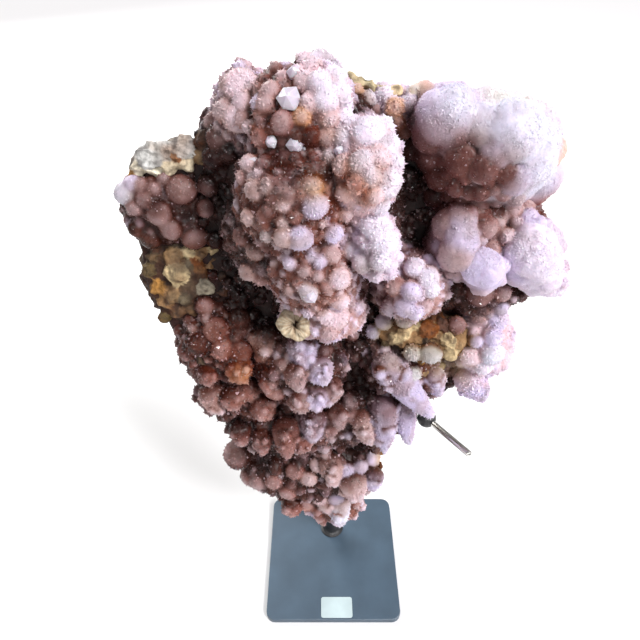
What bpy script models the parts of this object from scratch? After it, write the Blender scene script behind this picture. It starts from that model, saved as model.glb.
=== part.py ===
# A druzy botryoidal quartz cluster on a dark metal display stand, in metres, +Z up.
#
# The origin is the middle of the base plate's underside. The specimen is a shield of matrix that leans
# back a little; its grape-like masses, knobs and pointed fingers are grown together into one solid.
# Places on its face are (across, up, out): across to the right, up along the leaning face, out to the front.
# The knobs and fingers were picked by eye on a picture of the real piece, as column and row. A pick is
# turned into a line of sight from where the picture was taken, and the growth sits where that line
# first meets the rock.

import math

import bmesh
import bpy
import numpy as np
from mathutils import Matrix, Vector

MM = 0.001
GAP = 0.3 * MM

# Base plate, label and post
PLATE_SIDE = 120 * MM
PLATE_THICK = 6 * MM
PLATE_CORNER = 8 * MM
PLATE_EDGE = 0.8 * MM
LABEL_WIDE = 28 * MM
LABEL_DEEP = 18 * MM
LABEL_THICK = 0.3 * MM
LABEL_CORNER = 2 * MM
LABEL_ACROSS = 3 * MM
LABEL_INSET = 0.8 * MM
POST_RADIUS = 6.5 * MM
POST_SET_BACK = 28 * MM
POST_TOP = 255 * MM
POST_FOOT_RADIUS = 11 * MM
POST_FOOT_TALL = 7 * MM
POST_FOOT_EDGE = 0.8 * MM
POST_SIDES = 24

# Arm, clamp and prong
ARM_RADIUS = 3.5 * MM
ROD_SIDES = 14
ARM_HEIGHT = 184.5 * MM
SLEEVE_RADIUS = 9.8 * MM
SLEEVE_TALL = 15 * MM
CLAMP_PLACE = Vector((72 * MM, 22 * MM, ARM_HEIGHT))
CLAMP_RADIUS = 7.5 * MM
PRONG_RADIUS = 2.5 * MM
PRONG_END = Vector((98 * MM, -17 * MM, 190 * MM))

# The specimen's face: its middle and how far it leans back
FACE_MIDDLE = Vector((0.0, 30 * MM, 300 * MM))
LEAN = math.radians(12)
ACROSS = Vector((1.0, 0.0, 0.0))
UP = Vector((0.0, math.sin(LEAN), math.cos(LEAN)))
OUT = Vector((0.0, -math.cos(LEAN), math.sin(LEAN)))

# Where the picture was taken from, for the lines of sight
EYE = Vector((-12 * MM, -260 * MM, 531 * MM))
EYE_PITCH = math.radians(40.9)
EYE_FOCUS = 558.5
PICTURE_MIDDLE = 320.0

# The matrix shield: outline as (across, up) in millimetres, clockwise from the left tip
SHIELD_OUTLINE = (
    (-128, 70), (-118, 86), (-96, 95), (-76, 103), (-64, 121), (-46, 129), (-22, 135), (-4, 134),
    (16, 125), (34, 121), (52, 122), (78, 118), (104, 114), (120, 102), (125, 84), (120, 58),
    (118, 32), (111, 2), (109, -30), (103, -60), (84, -70), (64, -90), (44, -110), (33, -148),
    (19, -178), (3, -196), (-18, -188), (-40, -190), (-62, -174), (-70, -150), (-78, -120),
    (-84, -92), (-94, -68), (-106, -44), (-113, -14), (-121, 16), (-126, 36),
)
SHIELD_MIDDLE = (-6.0, -6.0)
SHIELD_FRONT = 5.0
SHIELD_BACK = 33.0
SHIELD_BACK_LOW = 7.0
SHIELD_THIN_BELOW = -110.0
SHIELD_THIN_RUN = 80.0
SHIELD_FULLNESS = 0.55
SHIELD_FLATNESS = 0.7
SHIELD_FRONT_WAVE = 1.5
SHIELD_BACK_WAVE = 3.5
SHIELD_SIDES = 44
SHIELD_RINGS = 10
FACETS_WANTED = 8300

# Grape-like masses on the shield: (across, up, out) of the middle, then the three half sizes, in
# millimetres, then the turn in the plane of the face in degrees, and how finely it is faceted
MASSES = {
    "crown_top": (-12, 129, 20, 17, 20, 22, 0, 2),
    "crown_head": (-24, 112, 16, 30, 28, 26, 0, 2),
    "crown_shoulder": (17, 91, 24, 25, 30, 30, -8, 2),
    "crown_chest": (-24, 74, 26, 34, 36, 30, 10, 2),
    "crown_belly": (-16, 36, 24, 28, 32, 30, 12, 2),
    "crown_foot": (-7, 2, 20, 23, 17, 22, 0, 2),
    "crown_flank": (-46, 46, 16, 20, 27, 22, 18, 2),
    "crown_seam": (5, 66, 16, 16, 26, 20, 0, 2),
    "crown_lobe": (19, 50, 34, 13, 19, 17, 8, 2),
    "crown_side": (45, 17, 14, 22, 22, 24, -20, 2),
    "crown_root": (-8, 62, 2, 46, 68, 22, 0, 2),
    "dome": (84, 96, 6, 38, 33, 32, -8, 2),
    "dome_corner": (59, 113, 6, 20, 17, 22, 0, 2),
    "valley_top": (28, 114, -4, 30, 14, 14, 0, 2),
    "lobes_base": (96, 40, -2, 34, 32, 22, -10, 2),
    "lobe_left": (71, 44, 12, 17, 23, 20, -14, 2),
    "lobe_mid": (86, 30, 20, 12, 13, 15, 0, 2),
    "lobe_right": (117, 36, 8, 15, 22, 17, 10, 2),
    "lobe_tip": (131, 18, 6, 15, 11, 12, -35, 2),
    "lobes_under": (92, 6, 0, 30, 13, 16, 0, 2),
    "ledge": (62, -24, 4, 40, 18, 19, -6, 2),
    "ledge_right": (99, -32, 2, 20, 27, 18, 8, 2),
    "finger_base": (46, -52, 0, 30, 30, 18, 30, 2),
    "upper_left": (-54, 117, 2, 17, 23, 20, 0, 2),
    "upper_left_low": (-62, 96, -2, 20, 22, 16, 20, 2),
    "left_rim": (-102, 90, -6, 26, 10, 14, 14, 2),
    "left_cluster": (-106, 60, -6, 28, 25, 17, 0, 2),
    "left_matrix": (-104, 12, -6, 26, 36, 18, 10, 2),
    "left_shelf": (-78, -36, 0, 30, 32, 20, 20, 2),
    "left_shelf_low": (-70, -76, 0, 30, 18, 20, 0, 2),
    "tier_high": (-26, -48, 6, 32, 30, 24, 0, 2),
    "tier_mid": (-28, -104, 8, 50, 20, 14, 0, 2),
    "tier_mid_right": (22, -92, 6, 28, 24, 12, 30, 2),
    "tier_low": (-16, -150, 5, 50, 27, 12, 0, 2),
    "tier_tip": (-2, -184, 2, 24, 22, 8, 0, 2),
    "back_left": (-66, 66, -22, 38, 34, 15, 20, 1),
    "back_top": (20, 98, -20, 52, 26, 15, -10, 1),
    "back_right": (66, 40, -22, 40, 46, 13, 30, 1),
    "back_middle": (-10, 10, -26, 46, 42, 13, 0, 1),
    "back_low": (-48, -40, -18, 34, 36, 12, -25, 1),
    "back_low_right": (58, -26, -16, 32, 34, 14, 10, 1),
}
WAVE_SIZE = 17.0
WAVE_DEPTH = 1.3

# Round knobs picked on the picture: column, row, radius in millimetres
CROWN_KNOBS = (
    (315, 72, 9.5), (332, 80, 7.5), (322, 100, 8.5), (338, 106, 6.5), (295, 78, 4.6), (290, 100, 6.2),
    (270, 93, 5.2), (302, 116, 5), (283, 122, 6), (262, 138, 5.6), (293, 144, 4.9), (330, 137, 5.2),
    (341, 150, 8), (335, 165, 5.2), (352, 128, 6.5), (371, 130, 10), (386, 150, 8), (367, 164, 7),
    (362, 181, 6.5), (386, 186, 8), (380, 204, 6.5), (252, 164, 5), (237, 188, 4.2), (256, 190, 5.8),
    (269, 186, 4.6), (313, 186, 4.6), (316, 206, 7), (346, 192, 5), (345, 213, 4.4), (333, 232, 5.6),
    (352, 230, 4.4), (300, 238, 7.2), (285, 236, 5.6), (250, 216, 5), (242, 236, 5.5), (256, 251, 6),
    (249, 270, 5.2), (262, 276, 4.5), (290, 264, 4.2), (338, 278, 6.2), (352, 250, 6.6), (362, 263, 5.6),
    (376, 226, 7), (384, 244, 7.5), (380, 259, 5.6), (395, 263, 4.6), (309, 291, 5.2), (290, 306, 6),
    (326, 311, 5.2), (336, 316, 8), (330, 330, 5.2), (350, 334, 5.6), (340, 300, 5), (415, 268, 6.6),
    (428, 278, 7), (431, 289, 5.6), (411, 291, 6), (395, 286, 5.6), (375, 294, 4.6), (405, 306, 6.6),
    (391, 306, 5.6), (384, 322, 5.6), (405, 319, 5.6), (374, 331, 4.6),
)
VALLEY_KNOBS = (
    (357, 99, 5), (380, 97, 5.5), (395, 115, 7), (407, 106, 6), (388, 121, 5), (411, 150, 6),
    (406, 176, 6.5),
)
DOME_KNOBS = (
    (455, 108, 13), (436, 116, 9.5), (485, 125, 11), (516, 130, 15), (541, 141, 10), (536, 166, 10),
    (515, 180, 8.5), (552, 121, 5.5), (557, 152, 4.4), (553, 186, 8), (536, 194, 7), (461, 141, 9.5),
    (431, 142, 8), (441, 166, 8), (470, 166, 8), (492, 157, 8), (456, 187, 7), (481, 191, 7),
    (502, 195, 6), (429, 177, 6),
)
LOBE_KNOBS = (
    (447, 224, 8.5), (461, 219, 8.5), (462, 240, 9), (455, 254, 9), (482, 267, 10.5), (491, 247, 5.5),
    (521, 250, 10), (527, 238, 8), (514, 271, 9), (529, 263, 8), (545, 270, 8), (548, 281, 7),
    (534, 286, 5.5), (506, 235, 5), (486, 228, 6), (512, 210, 5.5), (528, 221, 7), (525, 204, 5.5),
    (480, 291, 9), (501, 293, 6), (455, 286, 7), (446, 301, 6),
)
LEDGE_KNOBS = (
    (500, 306, 5), (497, 321, 6.5), (493, 337, 6), (475, 341, 5), (471, 356, 7), (493, 353, 8),
    (483, 366, 5.5), (456, 325, 6), (480, 314, 6), (430, 353, 7), (413, 352, 5.5), (414, 372, 5),
)
LEFT_KNOBS = (
    (126, 193, 6.5), (141, 186, 5), (146, 199, 5), (136, 207, 5), (182, 190, 9), (208, 185, 6.5),
    (204, 208, 5.5), (161, 214, 7.5), (170, 228, 7), (138, 229, 5.5), (151, 239, 7), (195, 238, 8),
    (216, 240, 5.5), (150, 157, 8), (145, 170, 8), (175, 147, 8), (240, 84, 8.5), (254, 89, 5),
    (243, 104, 7.5), (238, 118, 7.5), (226, 111, 5), (215, 121, 5), (220, 141, 9), (214, 161, 9),
    (230, 151, 8),
)
LOW_KNOBS = (
    (240, 352, 8), (222, 350, 7), (275, 392, 8), (197, 345, 8), (216, 330, 8), (240, 318, 7),
    (205, 305, 6), (236, 455, 11), (355, 416, 6), (351, 400, 6), (318, 464, 6), (346, 470, 7),
    (360, 466, 6), (372, 458, 6.5), (287, 491, 7), (274, 481, 7), (309, 478, 6.5), (258, 481, 7),
    (248, 476, 6.5), (306, 502, 8), (322, 498, 7), (336, 496, 6.5), (295, 470, 7),
)
KNOB_CLUSTERS = (
    CROWN_KNOBS, VALLEY_KNOBS, DOME_KNOBS, LOBE_KNOBS, LEDGE_KNOBS, LEFT_KNOBS, LOW_KNOBS,
)
KNOB_LIFT = 0.25
KNOB_LENGTH = 1.1
KNOB_TO_FRONT = 0.35
# Sides and rings of a knob by its radius, in millimetres
KNOB_FACETS = ((9.5, 7, 5), (6.5, 6, 4), (0.0, 5, 3))
FINGER_FACETS = (6, 5)

# Pointed fingers: column and row of the root, column and row of the tip, radius in millimetres, and
# how far the tip stands out beyond the root
FINGERS = (
    (393, 372, 434, 416, 14, 8), (402, 402, 409, 445, 8, 6), (384, 408, 384, 454, 9, 6),
    (362, 420, 372, 446, 7.5, 4), (470, 378, 484, 401, 10.5, 6), (435, 376, 440, 397, 6, 0),
    (266, 338, 266, 363, 10, 10), (302, 346, 305, 369, 9.5, 9), (296, 372, 300, 392, 7, 7),
    (320, 368, 326, 385, 8, 8), (332, 386, 333, 402, 6.5, 6), (318, 396, 317, 412, 8.5, 7),
    (300, 398, 303, 412, 8, 7), (208, 374, 208, 386, 7, 4), (240, 368, 238, 383, 9, 7),
    (250, 388, 250, 401, 7, 6), (267, 383, 269, 395, 5.5, 6), (232, 398, 238, 409, 8, 4),
    (213, 394, 218, 415, 9, 4), (263, 406, 270, 420, 9, 6), (313, 420, 312, 443, 9.5, 7),
    (337, 414, 339, 429, 9, 7), (334, 430, 334, 443, 8.5, 4), (286, 430, 287, 460, 12, 9),
    (301, 440, 303, 452, 7, 4), (263, 437, 263, 456, 7, 4), (240, 430, 242, 447, 7.5, 4),
    (330, 462, 336, 488, 9, 6), (374, 476, 373, 491, 7, 3), (352, 482, 356, 501, 10.5, 6),
    (292, 503, 292, 515, 9, 3), (340, 505, 341, 526, 8, 4), (325, 500, 331, 515, 6.5, 3),
)
RING_TUBE_PICK = (295, 323)
RING_TUBE_RADIUS = 5.2
RING_TUBE_WALL = 3.1
RING_TUBE_LIFT = 2.0


def on_face(across, up, out):
    """The place in metres of a point of the leaning face, given in millimetres."""
    return FACE_MIDDLE + (ACROSS * across + UP * up + OUT * out) * MM


def face_parts(place):
    """How far a place lies across, up and out of the face's middle, in millimetres."""
    away = (place - FACE_MIDDLE) / MM
    return away.dot(ACROSS), away.dot(UP), away.dot(OUT)


def sight(column, row):
    """The direction of the line of sight through a picked column and row of the picture."""
    forward = Vector((0.0, math.cos(EYE_PITCH), -math.sin(EYE_PITCH)))
    above = Vector((0.0, math.sin(EYE_PITCH), math.cos(EYE_PITCH)))
    right = (column - PICTURE_MIDDLE) / EYE_FOCUS
    down = (row - PICTURE_MIDDLE) / EYE_FOCUS
    return (forward + ACROSS * right - above * down).normalized()


def sight_on_plane(column, row, out):
    """Where a line of sight meets the plane that stands out this far, in millimetres, of the face."""
    line = sight(column, row)
    plane = FACE_MIDDLE + OUT * out * MM
    return EYE + line * ((plane - EYE).dot(OUT) / line.dot(OUT))


def mass_axes(turn):
    """The across, up and out axes of a mass that is turned in the plane of the face."""
    angle = math.radians(turn)
    across = ACROSS * math.cos(angle) + UP * math.sin(angle)
    up = UP * math.cos(angle) - ACROSS * math.sin(angle)
    return across, up, OUT


def distance_to_mass(line, mass):
    """How far along a line of sight it first meets an ellipsoid mass, or None where it misses it."""
    middle = on_face(*mass[:3])
    start = EYE - middle
    scaled_start = Vector()
    scaled_line = Vector()
    for index, axis in enumerate(mass_axes(mass[6])):
        size = mass[3 + index] * MM
        scaled_start[index] = start.dot(axis) / size
        scaled_line[index] = line.dot(axis) / size
    square = scaled_line.length_squared
    half = scaled_start.dot(scaled_line)
    inside = half * half - square * (scaled_start.length_squared - 1.0)
    if inside < 0.0:
        return None
    return (-half - math.sqrt(inside)) / square


def seat(column, row):
    """How far along the line of sight through a pick the bare rock lies, and the line itself."""
    line = sight(column, row)
    plane = FACE_MIDDLE + OUT * SHIELD_FRONT * MM
    nearest = (plane - EYE).dot(OUT) / line.dot(OUT)
    for mass in MASSES.values():
        found = distance_to_mass(line, mass)
        if found is not None and found < nearest:
            nearest = found
    return nearest, line


def outward(place):
    """The way a growth points at a place: away from the nearest mass's middle, and out of the face."""
    best = None
    pointing = OUT.copy()
    for mass in MASSES.values():
        away = (place - on_face(*mass[:3])) / MM
        scaled = Vector()
        normal = Vector()
        for index, axis in enumerate(mass_axes(mass[6])):
            scaled[index] = away.dot(axis) / mass[3 + index]
            normal += axis * (scaled[index] / mass[3 + index])
        nearness = abs(scaled.length - 1.0)
        if best is None or nearness < best:
            best = nearness
            pointing = normal.normalized()
    return (pointing + OUT * KNOB_TO_FRONT).normalized()


def wave(place):
    """A gentle, repeatable unevenness between about -1 and 1 at a place in metres."""
    x, y, z = (place / (WAVE_SIZE * MM))[:]
    first = math.sin(1.3 * x + 0.7 * z + 0.4) * math.cos(1.1 * z - 0.6 * y)
    second = math.sin(2.9 * z + 1.7 * x + 1.9) * math.cos(2.3 * x + 1.9 * y + 0.8)
    return 0.65 * first + 0.35 * second


def shield_reach(angle):
    """The outline's distance from the shield's middle in a direction, in millimetres."""
    points = np.array(SHIELD_OUTLINE) - np.array(SHIELD_MIDDLE)
    angles = np.arctan2(points[:, 1], points[:, 0])
    reaches = np.hypot(points[:, 0], points[:, 1])
    return float(np.interp(angle, *sorted_by_angle(angles, reaches), period=2.0 * math.pi))


def sorted_by_angle(angles, reaches):
    """The same directions and distances, in the order of their directions."""
    order = np.argsort(angles)
    return angles[order], reaches[order]


def shield_back(up):
    """The depth of the shield's back at a height, in millimetres: full in the middle, thin at the foot."""
    share = min(max((up - SHIELD_THIN_BELOW) / SHIELD_THIN_RUN, 0.0), 1.0)
    share = share * share * (3.0 - 2.0 * share)
    return SHIELD_BACK_LOW + (SHIELD_BACK - SHIELD_BACK_LOW) * share


def material(name, color, roughness, metallic):
    """A Principled material of one colour."""
    made = bpy.data.materials.new(name)
    made.use_nodes = True
    shader = made.node_tree.nodes["Principled BSDF"]
    shader.inputs["Base Color"].default_value = (*color, 1.0)
    shader.inputs["Roughness"].default_value = roughness
    shader.inputs["Metallic"].default_value = metallic
    made.diffuse_color = (*color, 1.0)
    return made


def placed(name, mesh, collection, finish):
    """An object of a mesh, in a collection, with its material."""
    made = bpy.data.objects.new(name, mesh)
    collection.objects.link(made)
    mesh.materials.clear()
    mesh.materials.append(finish)
    return made


def mesh_from(name, bm):
    """A mesh made from a bmesh, which is freed."""
    bmesh.ops.recalc_face_normals(bm, faces=bm.faces)
    mesh = bpy.data.meshes.new(name)
    bm.to_mesh(mesh)
    bm.free()
    return mesh


def hide_as_cutter(shape):
    """Marks an object that only cuts or joins another."""
    shape.hide_render = True
    shape.display_type = "WIRE"


def shield_mesh():
    """The matrix: a low sphere whose middle circle is drawn out to the outline, with a flatter front."""
    bm = bmesh.new()
    bmesh.ops.create_uvsphere(bm, u_segments=SHIELD_SIDES, v_segments=SHIELD_RINGS, radius=1.0)
    for vertex in bm.verts:
        flat = math.hypot(vertex.co.x, vertex.co.y)
        angle = math.atan2(vertex.co.y, vertex.co.x)
        reach = shield_reach(angle) * flat ** SHIELD_FULLNESS
        across = SHIELD_MIDDLE[0] + reach * math.cos(angle)
        up = SHIELD_MIDDLE[1] + reach * math.sin(angle)
        rise = math.copysign(abs(vertex.co.z) ** SHIELD_FLATNESS, vertex.co.z)
        out = rise * (SHIELD_FRONT if rise > 0.0 else shield_back(up))
        place = on_face(across, up, out)
        depth = SHIELD_FRONT_WAVE if rise > 0.0 else SHIELD_BACK_WAVE
        vertex.co = place + OUT * (wave(place) * depth * MM)
    return mesh_from("shield", bm)


def mass_form(mass):
    """One ellipsoid mass, a little uneven, as a bmesh."""
    bm = bmesh.new()
    bmesh.ops.create_icosphere(bm, subdivisions=mass[7], radius=1.0)
    axes = mass_axes(mass[6])
    middle = on_face(*mass[:3])
    for vertex in bm.verts:
        unit = vertex.co.copy()
        place = middle.copy()
        for index, axis in enumerate(axes):
            place += axis * (unit[index] * mass[3 + index] * MM)
        dip = WAVE_DEPTH * MM * (wave(place) - 1.0)
        vertex.co = place + (place - middle).normalized() * dip
    return bm


def drawn_out(root, tip, radius, sides, rings):
    """A knob or finger: a low sphere whose outer half is drawn out from its root to its tip."""
    axis = tip - root
    length = axis.length
    turn = axis.to_track_quat("Z", "Y").to_matrix().to_4x4()
    bm = bmesh.new()
    bmesh.ops.create_uvsphere(bm, u_segments=sides, v_segments=rings, radius=1.0)
    for vertex in bm.verts:
        tall = length if vertex.co.z > 0.0 else radius
        vertex.co = Vector((vertex.co.x * radius, vertex.co.y * radius, vertex.co.z * tall))
    bmesh.ops.transform(bm, matrix=Matrix.Translation(root) @ turn, verts=bm.verts)
    return bm


def knob(column, row, radius):
    """A round knob, where the line of sight through its pick meets the rock."""
    distance, line = seat(column, row)
    size = radius * MM
    middle = EYE + line * (distance - KNOB_LIFT * size)
    tip = middle + outward(middle) * size * KNOB_LENGTH
    sides, rings = next(facets for least, *facets in KNOB_FACETS if radius > least)
    return drawn_out(middle, tip, size, sides, rings)


def finger(root_column, root_row, tip_column, tip_row, radius, rise):
    """A pointed finger between two picks, rooted in the rock."""
    distance, line = seat(root_column, root_row)
    root = EYE + line * distance
    root_out = face_parts(root)[2]
    tip = sight_on_plane(tip_column, tip_row, root_out + rise)
    return drawn_out(root, tip, radius * MM, *FINGER_FACETS)


def ring_tube():
    """The short broken tube with an open middle that hangs at the crown's lower left."""
    distance, line = seat(*RING_TUBE_PICK)
    middle = EYE + line * (distance - RING_TUBE_LIFT * MM)
    bpy.ops.mesh.primitive_torus_add(
        major_segments=11, minor_segments=5,
        major_radius=RING_TUBE_RADIUS * MM, minor_radius=RING_TUBE_WALL * MM,
    )
    ring = bpy.context.active_object
    bm = bmesh.new()
    bm.from_mesh(ring.data)
    turn = (-line).to_track_quat("Z", "Y").to_matrix().to_4x4()
    bmesh.ops.transform(bm, matrix=Matrix.Translation(middle) @ turn, verts=bm.verts)
    bpy.data.objects.remove(ring)
    return bm


def growths(finish, collection):
    """All masses, knobs and fingers, each a closed form of its own that overlaps its neighbours."""
    forms = [mass_form(mass) for mass in MASSES.values()]
    for cluster in KNOB_CLUSTERS:
        forms += [knob(column, row, radius) for column, row, radius in cluster]
    forms += [finger(*picks) for picks in FINGERS]
    forms.append(ring_tube())
    for number, bm in enumerate(forms):
        name = f"growth_{number:03d}"
        hide_as_cutter(placed(name, mesh_from(name, bm), collection, finish))


def outer_skin(source, name):
    """A mesh of an object's outermost surface alone, without the pockets sealed inside it."""
    evaluated = source.evaluated_get(bpy.context.evaluated_depsgraph_get())
    mesh = bpy.data.meshes.new_from_object(evaluated)
    bm = bmesh.new()
    bm.from_mesh(mesh)
    bpy.data.meshes.remove(mesh)
    unseen = set(bm.verts)
    bodies = []
    while unseen:
        waiting = [unseen.pop()]
        body = []
        while waiting:
            vertex = waiting.pop()
            body.append(vertex)
            near = {edge.other_vert(vertex) for edge in vertex.link_edges} & unseen
            unseen -= near
            waiting.extend(near)
        bodies.append(body)
    bodies.sort(key=len)
    for pocket in bodies[:-1]:
        bmesh.ops.delete(bm, geom=pocket, context="VERTS")
    bmesh.ops.triangulate(bm, faces=bm.faces, quad_method="BEAUTY", ngon_method="EAR_CLIP")
    return mesh_from(name, bm)


def upright_cylinder(radius, bottom, top, across, back, sides):
    """A closed upright cylinder as a bmesh."""
    bm = bmesh.new()
    tall = top - bottom
    bmesh.ops.create_cone(
        bm, cap_ends=True, segments=sides, radius1=radius, radius2=radius, depth=tall,
    )
    bmesh.ops.translate(bm, verts=bm.verts, vec=(across, back, bottom + tall / 2.0))
    return bm


def post_hole(finish, collection, name, radius, bottom, top):
    """A cutter round the post's axis."""
    bm = upright_cylinder(radius, bottom, top, 0.0, POST_SET_BACK, POST_SIDES)
    cutter = placed(name, mesh_from(name, bm), collection, finish)
    hide_as_cutter(cutter)
    return cutter


def joined(body, name, operation, other):
    """Adds a Boolean to a body."""
    step = body.modifiers.new(name, "BOOLEAN")
    step.operation = operation
    step.solver = "EXACT"
    step.object = other


def specimen(finish, parts, cutters):
    """The quartz: shield and growths in one solid, with the hole that the post stands in."""
    core = placed("shield", shield_mesh(), cutters, finish)
    hide_as_cutter(core)
    lumps = bpy.data.collections.new("growths")
    cutters.children.link(lumps)
    growths(finish, lumps)
    together = core.modifiers.new("growths", "BOOLEAN")
    together.operation = "UNION"
    together.solver = "EXACT"
    together.operand_type = "COLLECTION"
    together.collection = lumps
    body = placed("quartz_specimen", outer_skin(core, "quartz_specimen"), parts, finish)
    fewer = body.modifiers.new("fewer facets", "DECIMATE")
    fewer.ratio = FACETS_WANTED / len(body.data.polygons)
    socket = post_hole(finish, cutters, "post_socket", POST_RADIUS + GAP, PLATE_THICK, POST_TOP + GAP)
    joined(body, "post hole", "DIFFERENCE", socket)


def slab(wide, deep, thick, corner, steps):
    """A flat block with its upright edges rounded, its underside at zero, as a bmesh."""
    bm = bmesh.new()
    bmesh.ops.create_cube(bm, size=1.0)
    bmesh.ops.scale(bm, verts=bm.verts, vec=(wide, deep, thick))
    bmesh.ops.translate(bm, verts=bm.verts, vec=(0.0, 0.0, thick / 2.0))
    upright = [edge for edge in bm.edges if abs(edge.verts[0].co.z - edge.verts[1].co.z) > thick / 2.0]
    bmesh.ops.bevel(bm, geom=upright, offset=corner, segments=steps, profile=0.5, affect="EDGES")
    return bm


def base_plate(finish, collection):
    """The square plate, with its rims taken off by a small bevel."""
    bm = slab(PLATE_SIDE, PLATE_SIDE, PLATE_THICK, PLATE_CORNER, 5)
    plate = placed("base_plate", mesh_from("base_plate", bm), collection, finish)
    rim = plate.modifiers.new("rim", "BEVEL")
    rim.width = PLATE_EDGE
    rim.segments = 2
    rim.limit_method = "ANGLE"
    rim.angle_limit = math.radians(60)


def price_label(finish, collection):
    """The blank sticker near the plate's front edge."""
    bm = slab(LABEL_WIDE, LABEL_DEEP, LABEL_THICK, LABEL_CORNER, 3)
    label = placed("price_label", mesh_from("price_label", bm), collection, finish)
    front = -PLATE_SIDE / 2.0 + PLATE_EDGE + LABEL_INSET
    label.location = (LABEL_ACROSS, front + LABEL_DEEP / 2.0, PLATE_THICK + GAP)


def turned(name, profile, sides, finish, collection):
    """A solid turned about its own Z from a profile of (radius, height), listed from the top down."""
    bm = bmesh.new()
    corners = [bm.verts.new((radius, 0.0, height)) for radius, height in profile]
    for first, second in zip(corners, corners[1:]):
        bm.edges.new((first, second))
    mesh = bpy.data.meshes.new(name)
    bm.to_mesh(mesh)
    bm.free()
    made = placed(name, mesh, collection, finish)
    screw = made.modifiers.new("turned", "SCREW")
    screw.steps = sides
    screw.render_steps = sides
    screw.use_merge_vertices = True
    screw.merge_threshold = 0.00001
    return made


def post(finish, collection):
    """The round post, whose foot flares in a weld's hollow curve where it meets the plate."""
    bottom = PLATE_THICK + GAP
    flare = POST_FOOT_RADIUS - POST_RADIUS
    profile = [(0.0, POST_TOP), (POST_RADIUS, POST_TOP)]
    for step in range(5):
        angle = math.radians(90 * step / 4)
        radius = POST_FOOT_RADIUS - flare * math.cos(angle)
        height = bottom + POST_FOOT_EDGE + POST_FOOT_TALL * (1.0 - math.sin(angle))
        profile.append((radius, height))
    profile += [(POST_FOOT_RADIUS, bottom), (0.0, bottom)]
    made = turned("post", profile, POST_SIDES, finish, collection)
    made.location = (0.0, POST_SET_BACK, 0.0)


def rod_between(start, end, radius, sides):
    """A closed straight rod between two places, as a bmesh."""
    bm = bmesh.new()
    along = end - start
    bmesh.ops.create_cone(
        bm, cap_ends=True, segments=sides, radius1=radius, radius2=radius, depth=along.length,
    )
    turn = along.to_track_quat("Z", "Y").to_matrix().to_4x4()
    bmesh.ops.transform(bm, matrix=Matrix.Translation((start + end) / 2.0) @ turn, verts=bm.verts)
    return bm


def support_arm(finish, parts, cutters):
    """The arm: a sleeve round the post, and a rod from it to the clamp."""
    bottom = ARM_HEIGHT - SLEEVE_TALL / 2.0
    top = ARM_HEIGHT + SLEEVE_TALL / 2.0
    bm = upright_cylinder(SLEEVE_RADIUS, bottom, top, 0.0, POST_SET_BACK, POST_SIDES)
    arm = placed("support_arm", mesh_from("support_arm", bm), parts, finish)
    start = Vector((0.0, POST_SET_BACK, ARM_HEIGHT))
    along = (CLAMP_PLACE - start).normalized()
    end = CLAMP_PLACE - along * (CLAMP_RADIUS + GAP)
    rod_form = rod_between(start, end, ARM_RADIUS, ROD_SIDES)
    rod = placed("arm_rod", mesh_from("arm_rod", rod_form), cutters, finish)
    hide_as_cutter(rod)
    joined(arm, "rod", "UNION", rod)
    bore = post_hole(finish, cutters, "sleeve_bore", POST_RADIUS + GAP, bottom - MM, top + MM)
    joined(arm, "bore", "DIFFERENCE", bore)


def arm_clamp(finish, collection):
    """The ball-shaped clamp at the arm's end."""
    bm = bmesh.new()
    bmesh.ops.create_uvsphere(bm, u_segments=16, v_segments=10, radius=CLAMP_RADIUS)
    ball = placed("arm_clamp", mesh_from("arm_clamp", bm), collection, finish)
    ball.location = CLAMP_PLACE


def prong(finish, collection):
    """The bright rod with a rounded end that the clamp holds."""
    along = (PRONG_END - CLAMP_PLACE).normalized()
    start = CLAMP_PLACE + along * (CLAMP_RADIUS + GAP)
    length = (PRONG_END - start).length
    profile = []
    for step in range(5):
        angle = math.radians(90 * step / 4)
        profile.append((PRONG_RADIUS * math.sin(angle), length - PRONG_RADIUS * (1.0 - math.cos(angle))))
    profile += [(PRONG_RADIUS, 0.0), (0.0, 0.0)]
    rod = turned("prong", profile, ROD_SIDES, finish, collection)
    rod.location = start
    rod.rotation_mode = "QUATERNION"
    rod.rotation_quaternion = along.to_track_quat("Z", "Y")


def main():
    for leftover in list(bpy.data.objects):
        bpy.data.objects.remove(leftover)
    scene = bpy.context.scene
    parts = bpy.data.collections.new("botryoidal_quartz")
    cutters = bpy.data.collections.new("cutters")
    scene.collection.children.link(parts)
    scene.collection.children.link(cutters)
    quartz = material("lilac druzy quartz", (0.62, 0.42, 0.50), 0.35, 0.0)
    slate = material("slate grey coated steel", (0.10, 0.13, 0.16), 0.45, 0.0)
    black = material("black coated steel", (0.02, 0.02, 0.022), 0.4, 0.0)
    steel = material("bright steel", (0.72, 0.72, 0.70), 0.2, 1.0)
    paper = material("white paper", (0.85, 0.85, 0.84), 0.7, 0.0)
    specimen(quartz, parts, cutters)
    base_plate(slate, parts)
    post(black, parts)
    support_arm(black, parts, cutters)
    arm_clamp(black, parts)
    prong(steel, parts)
    price_label(paper, parts)
    bpy.context.view_layer.update()


main()
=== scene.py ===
import itertools
import math

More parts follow.
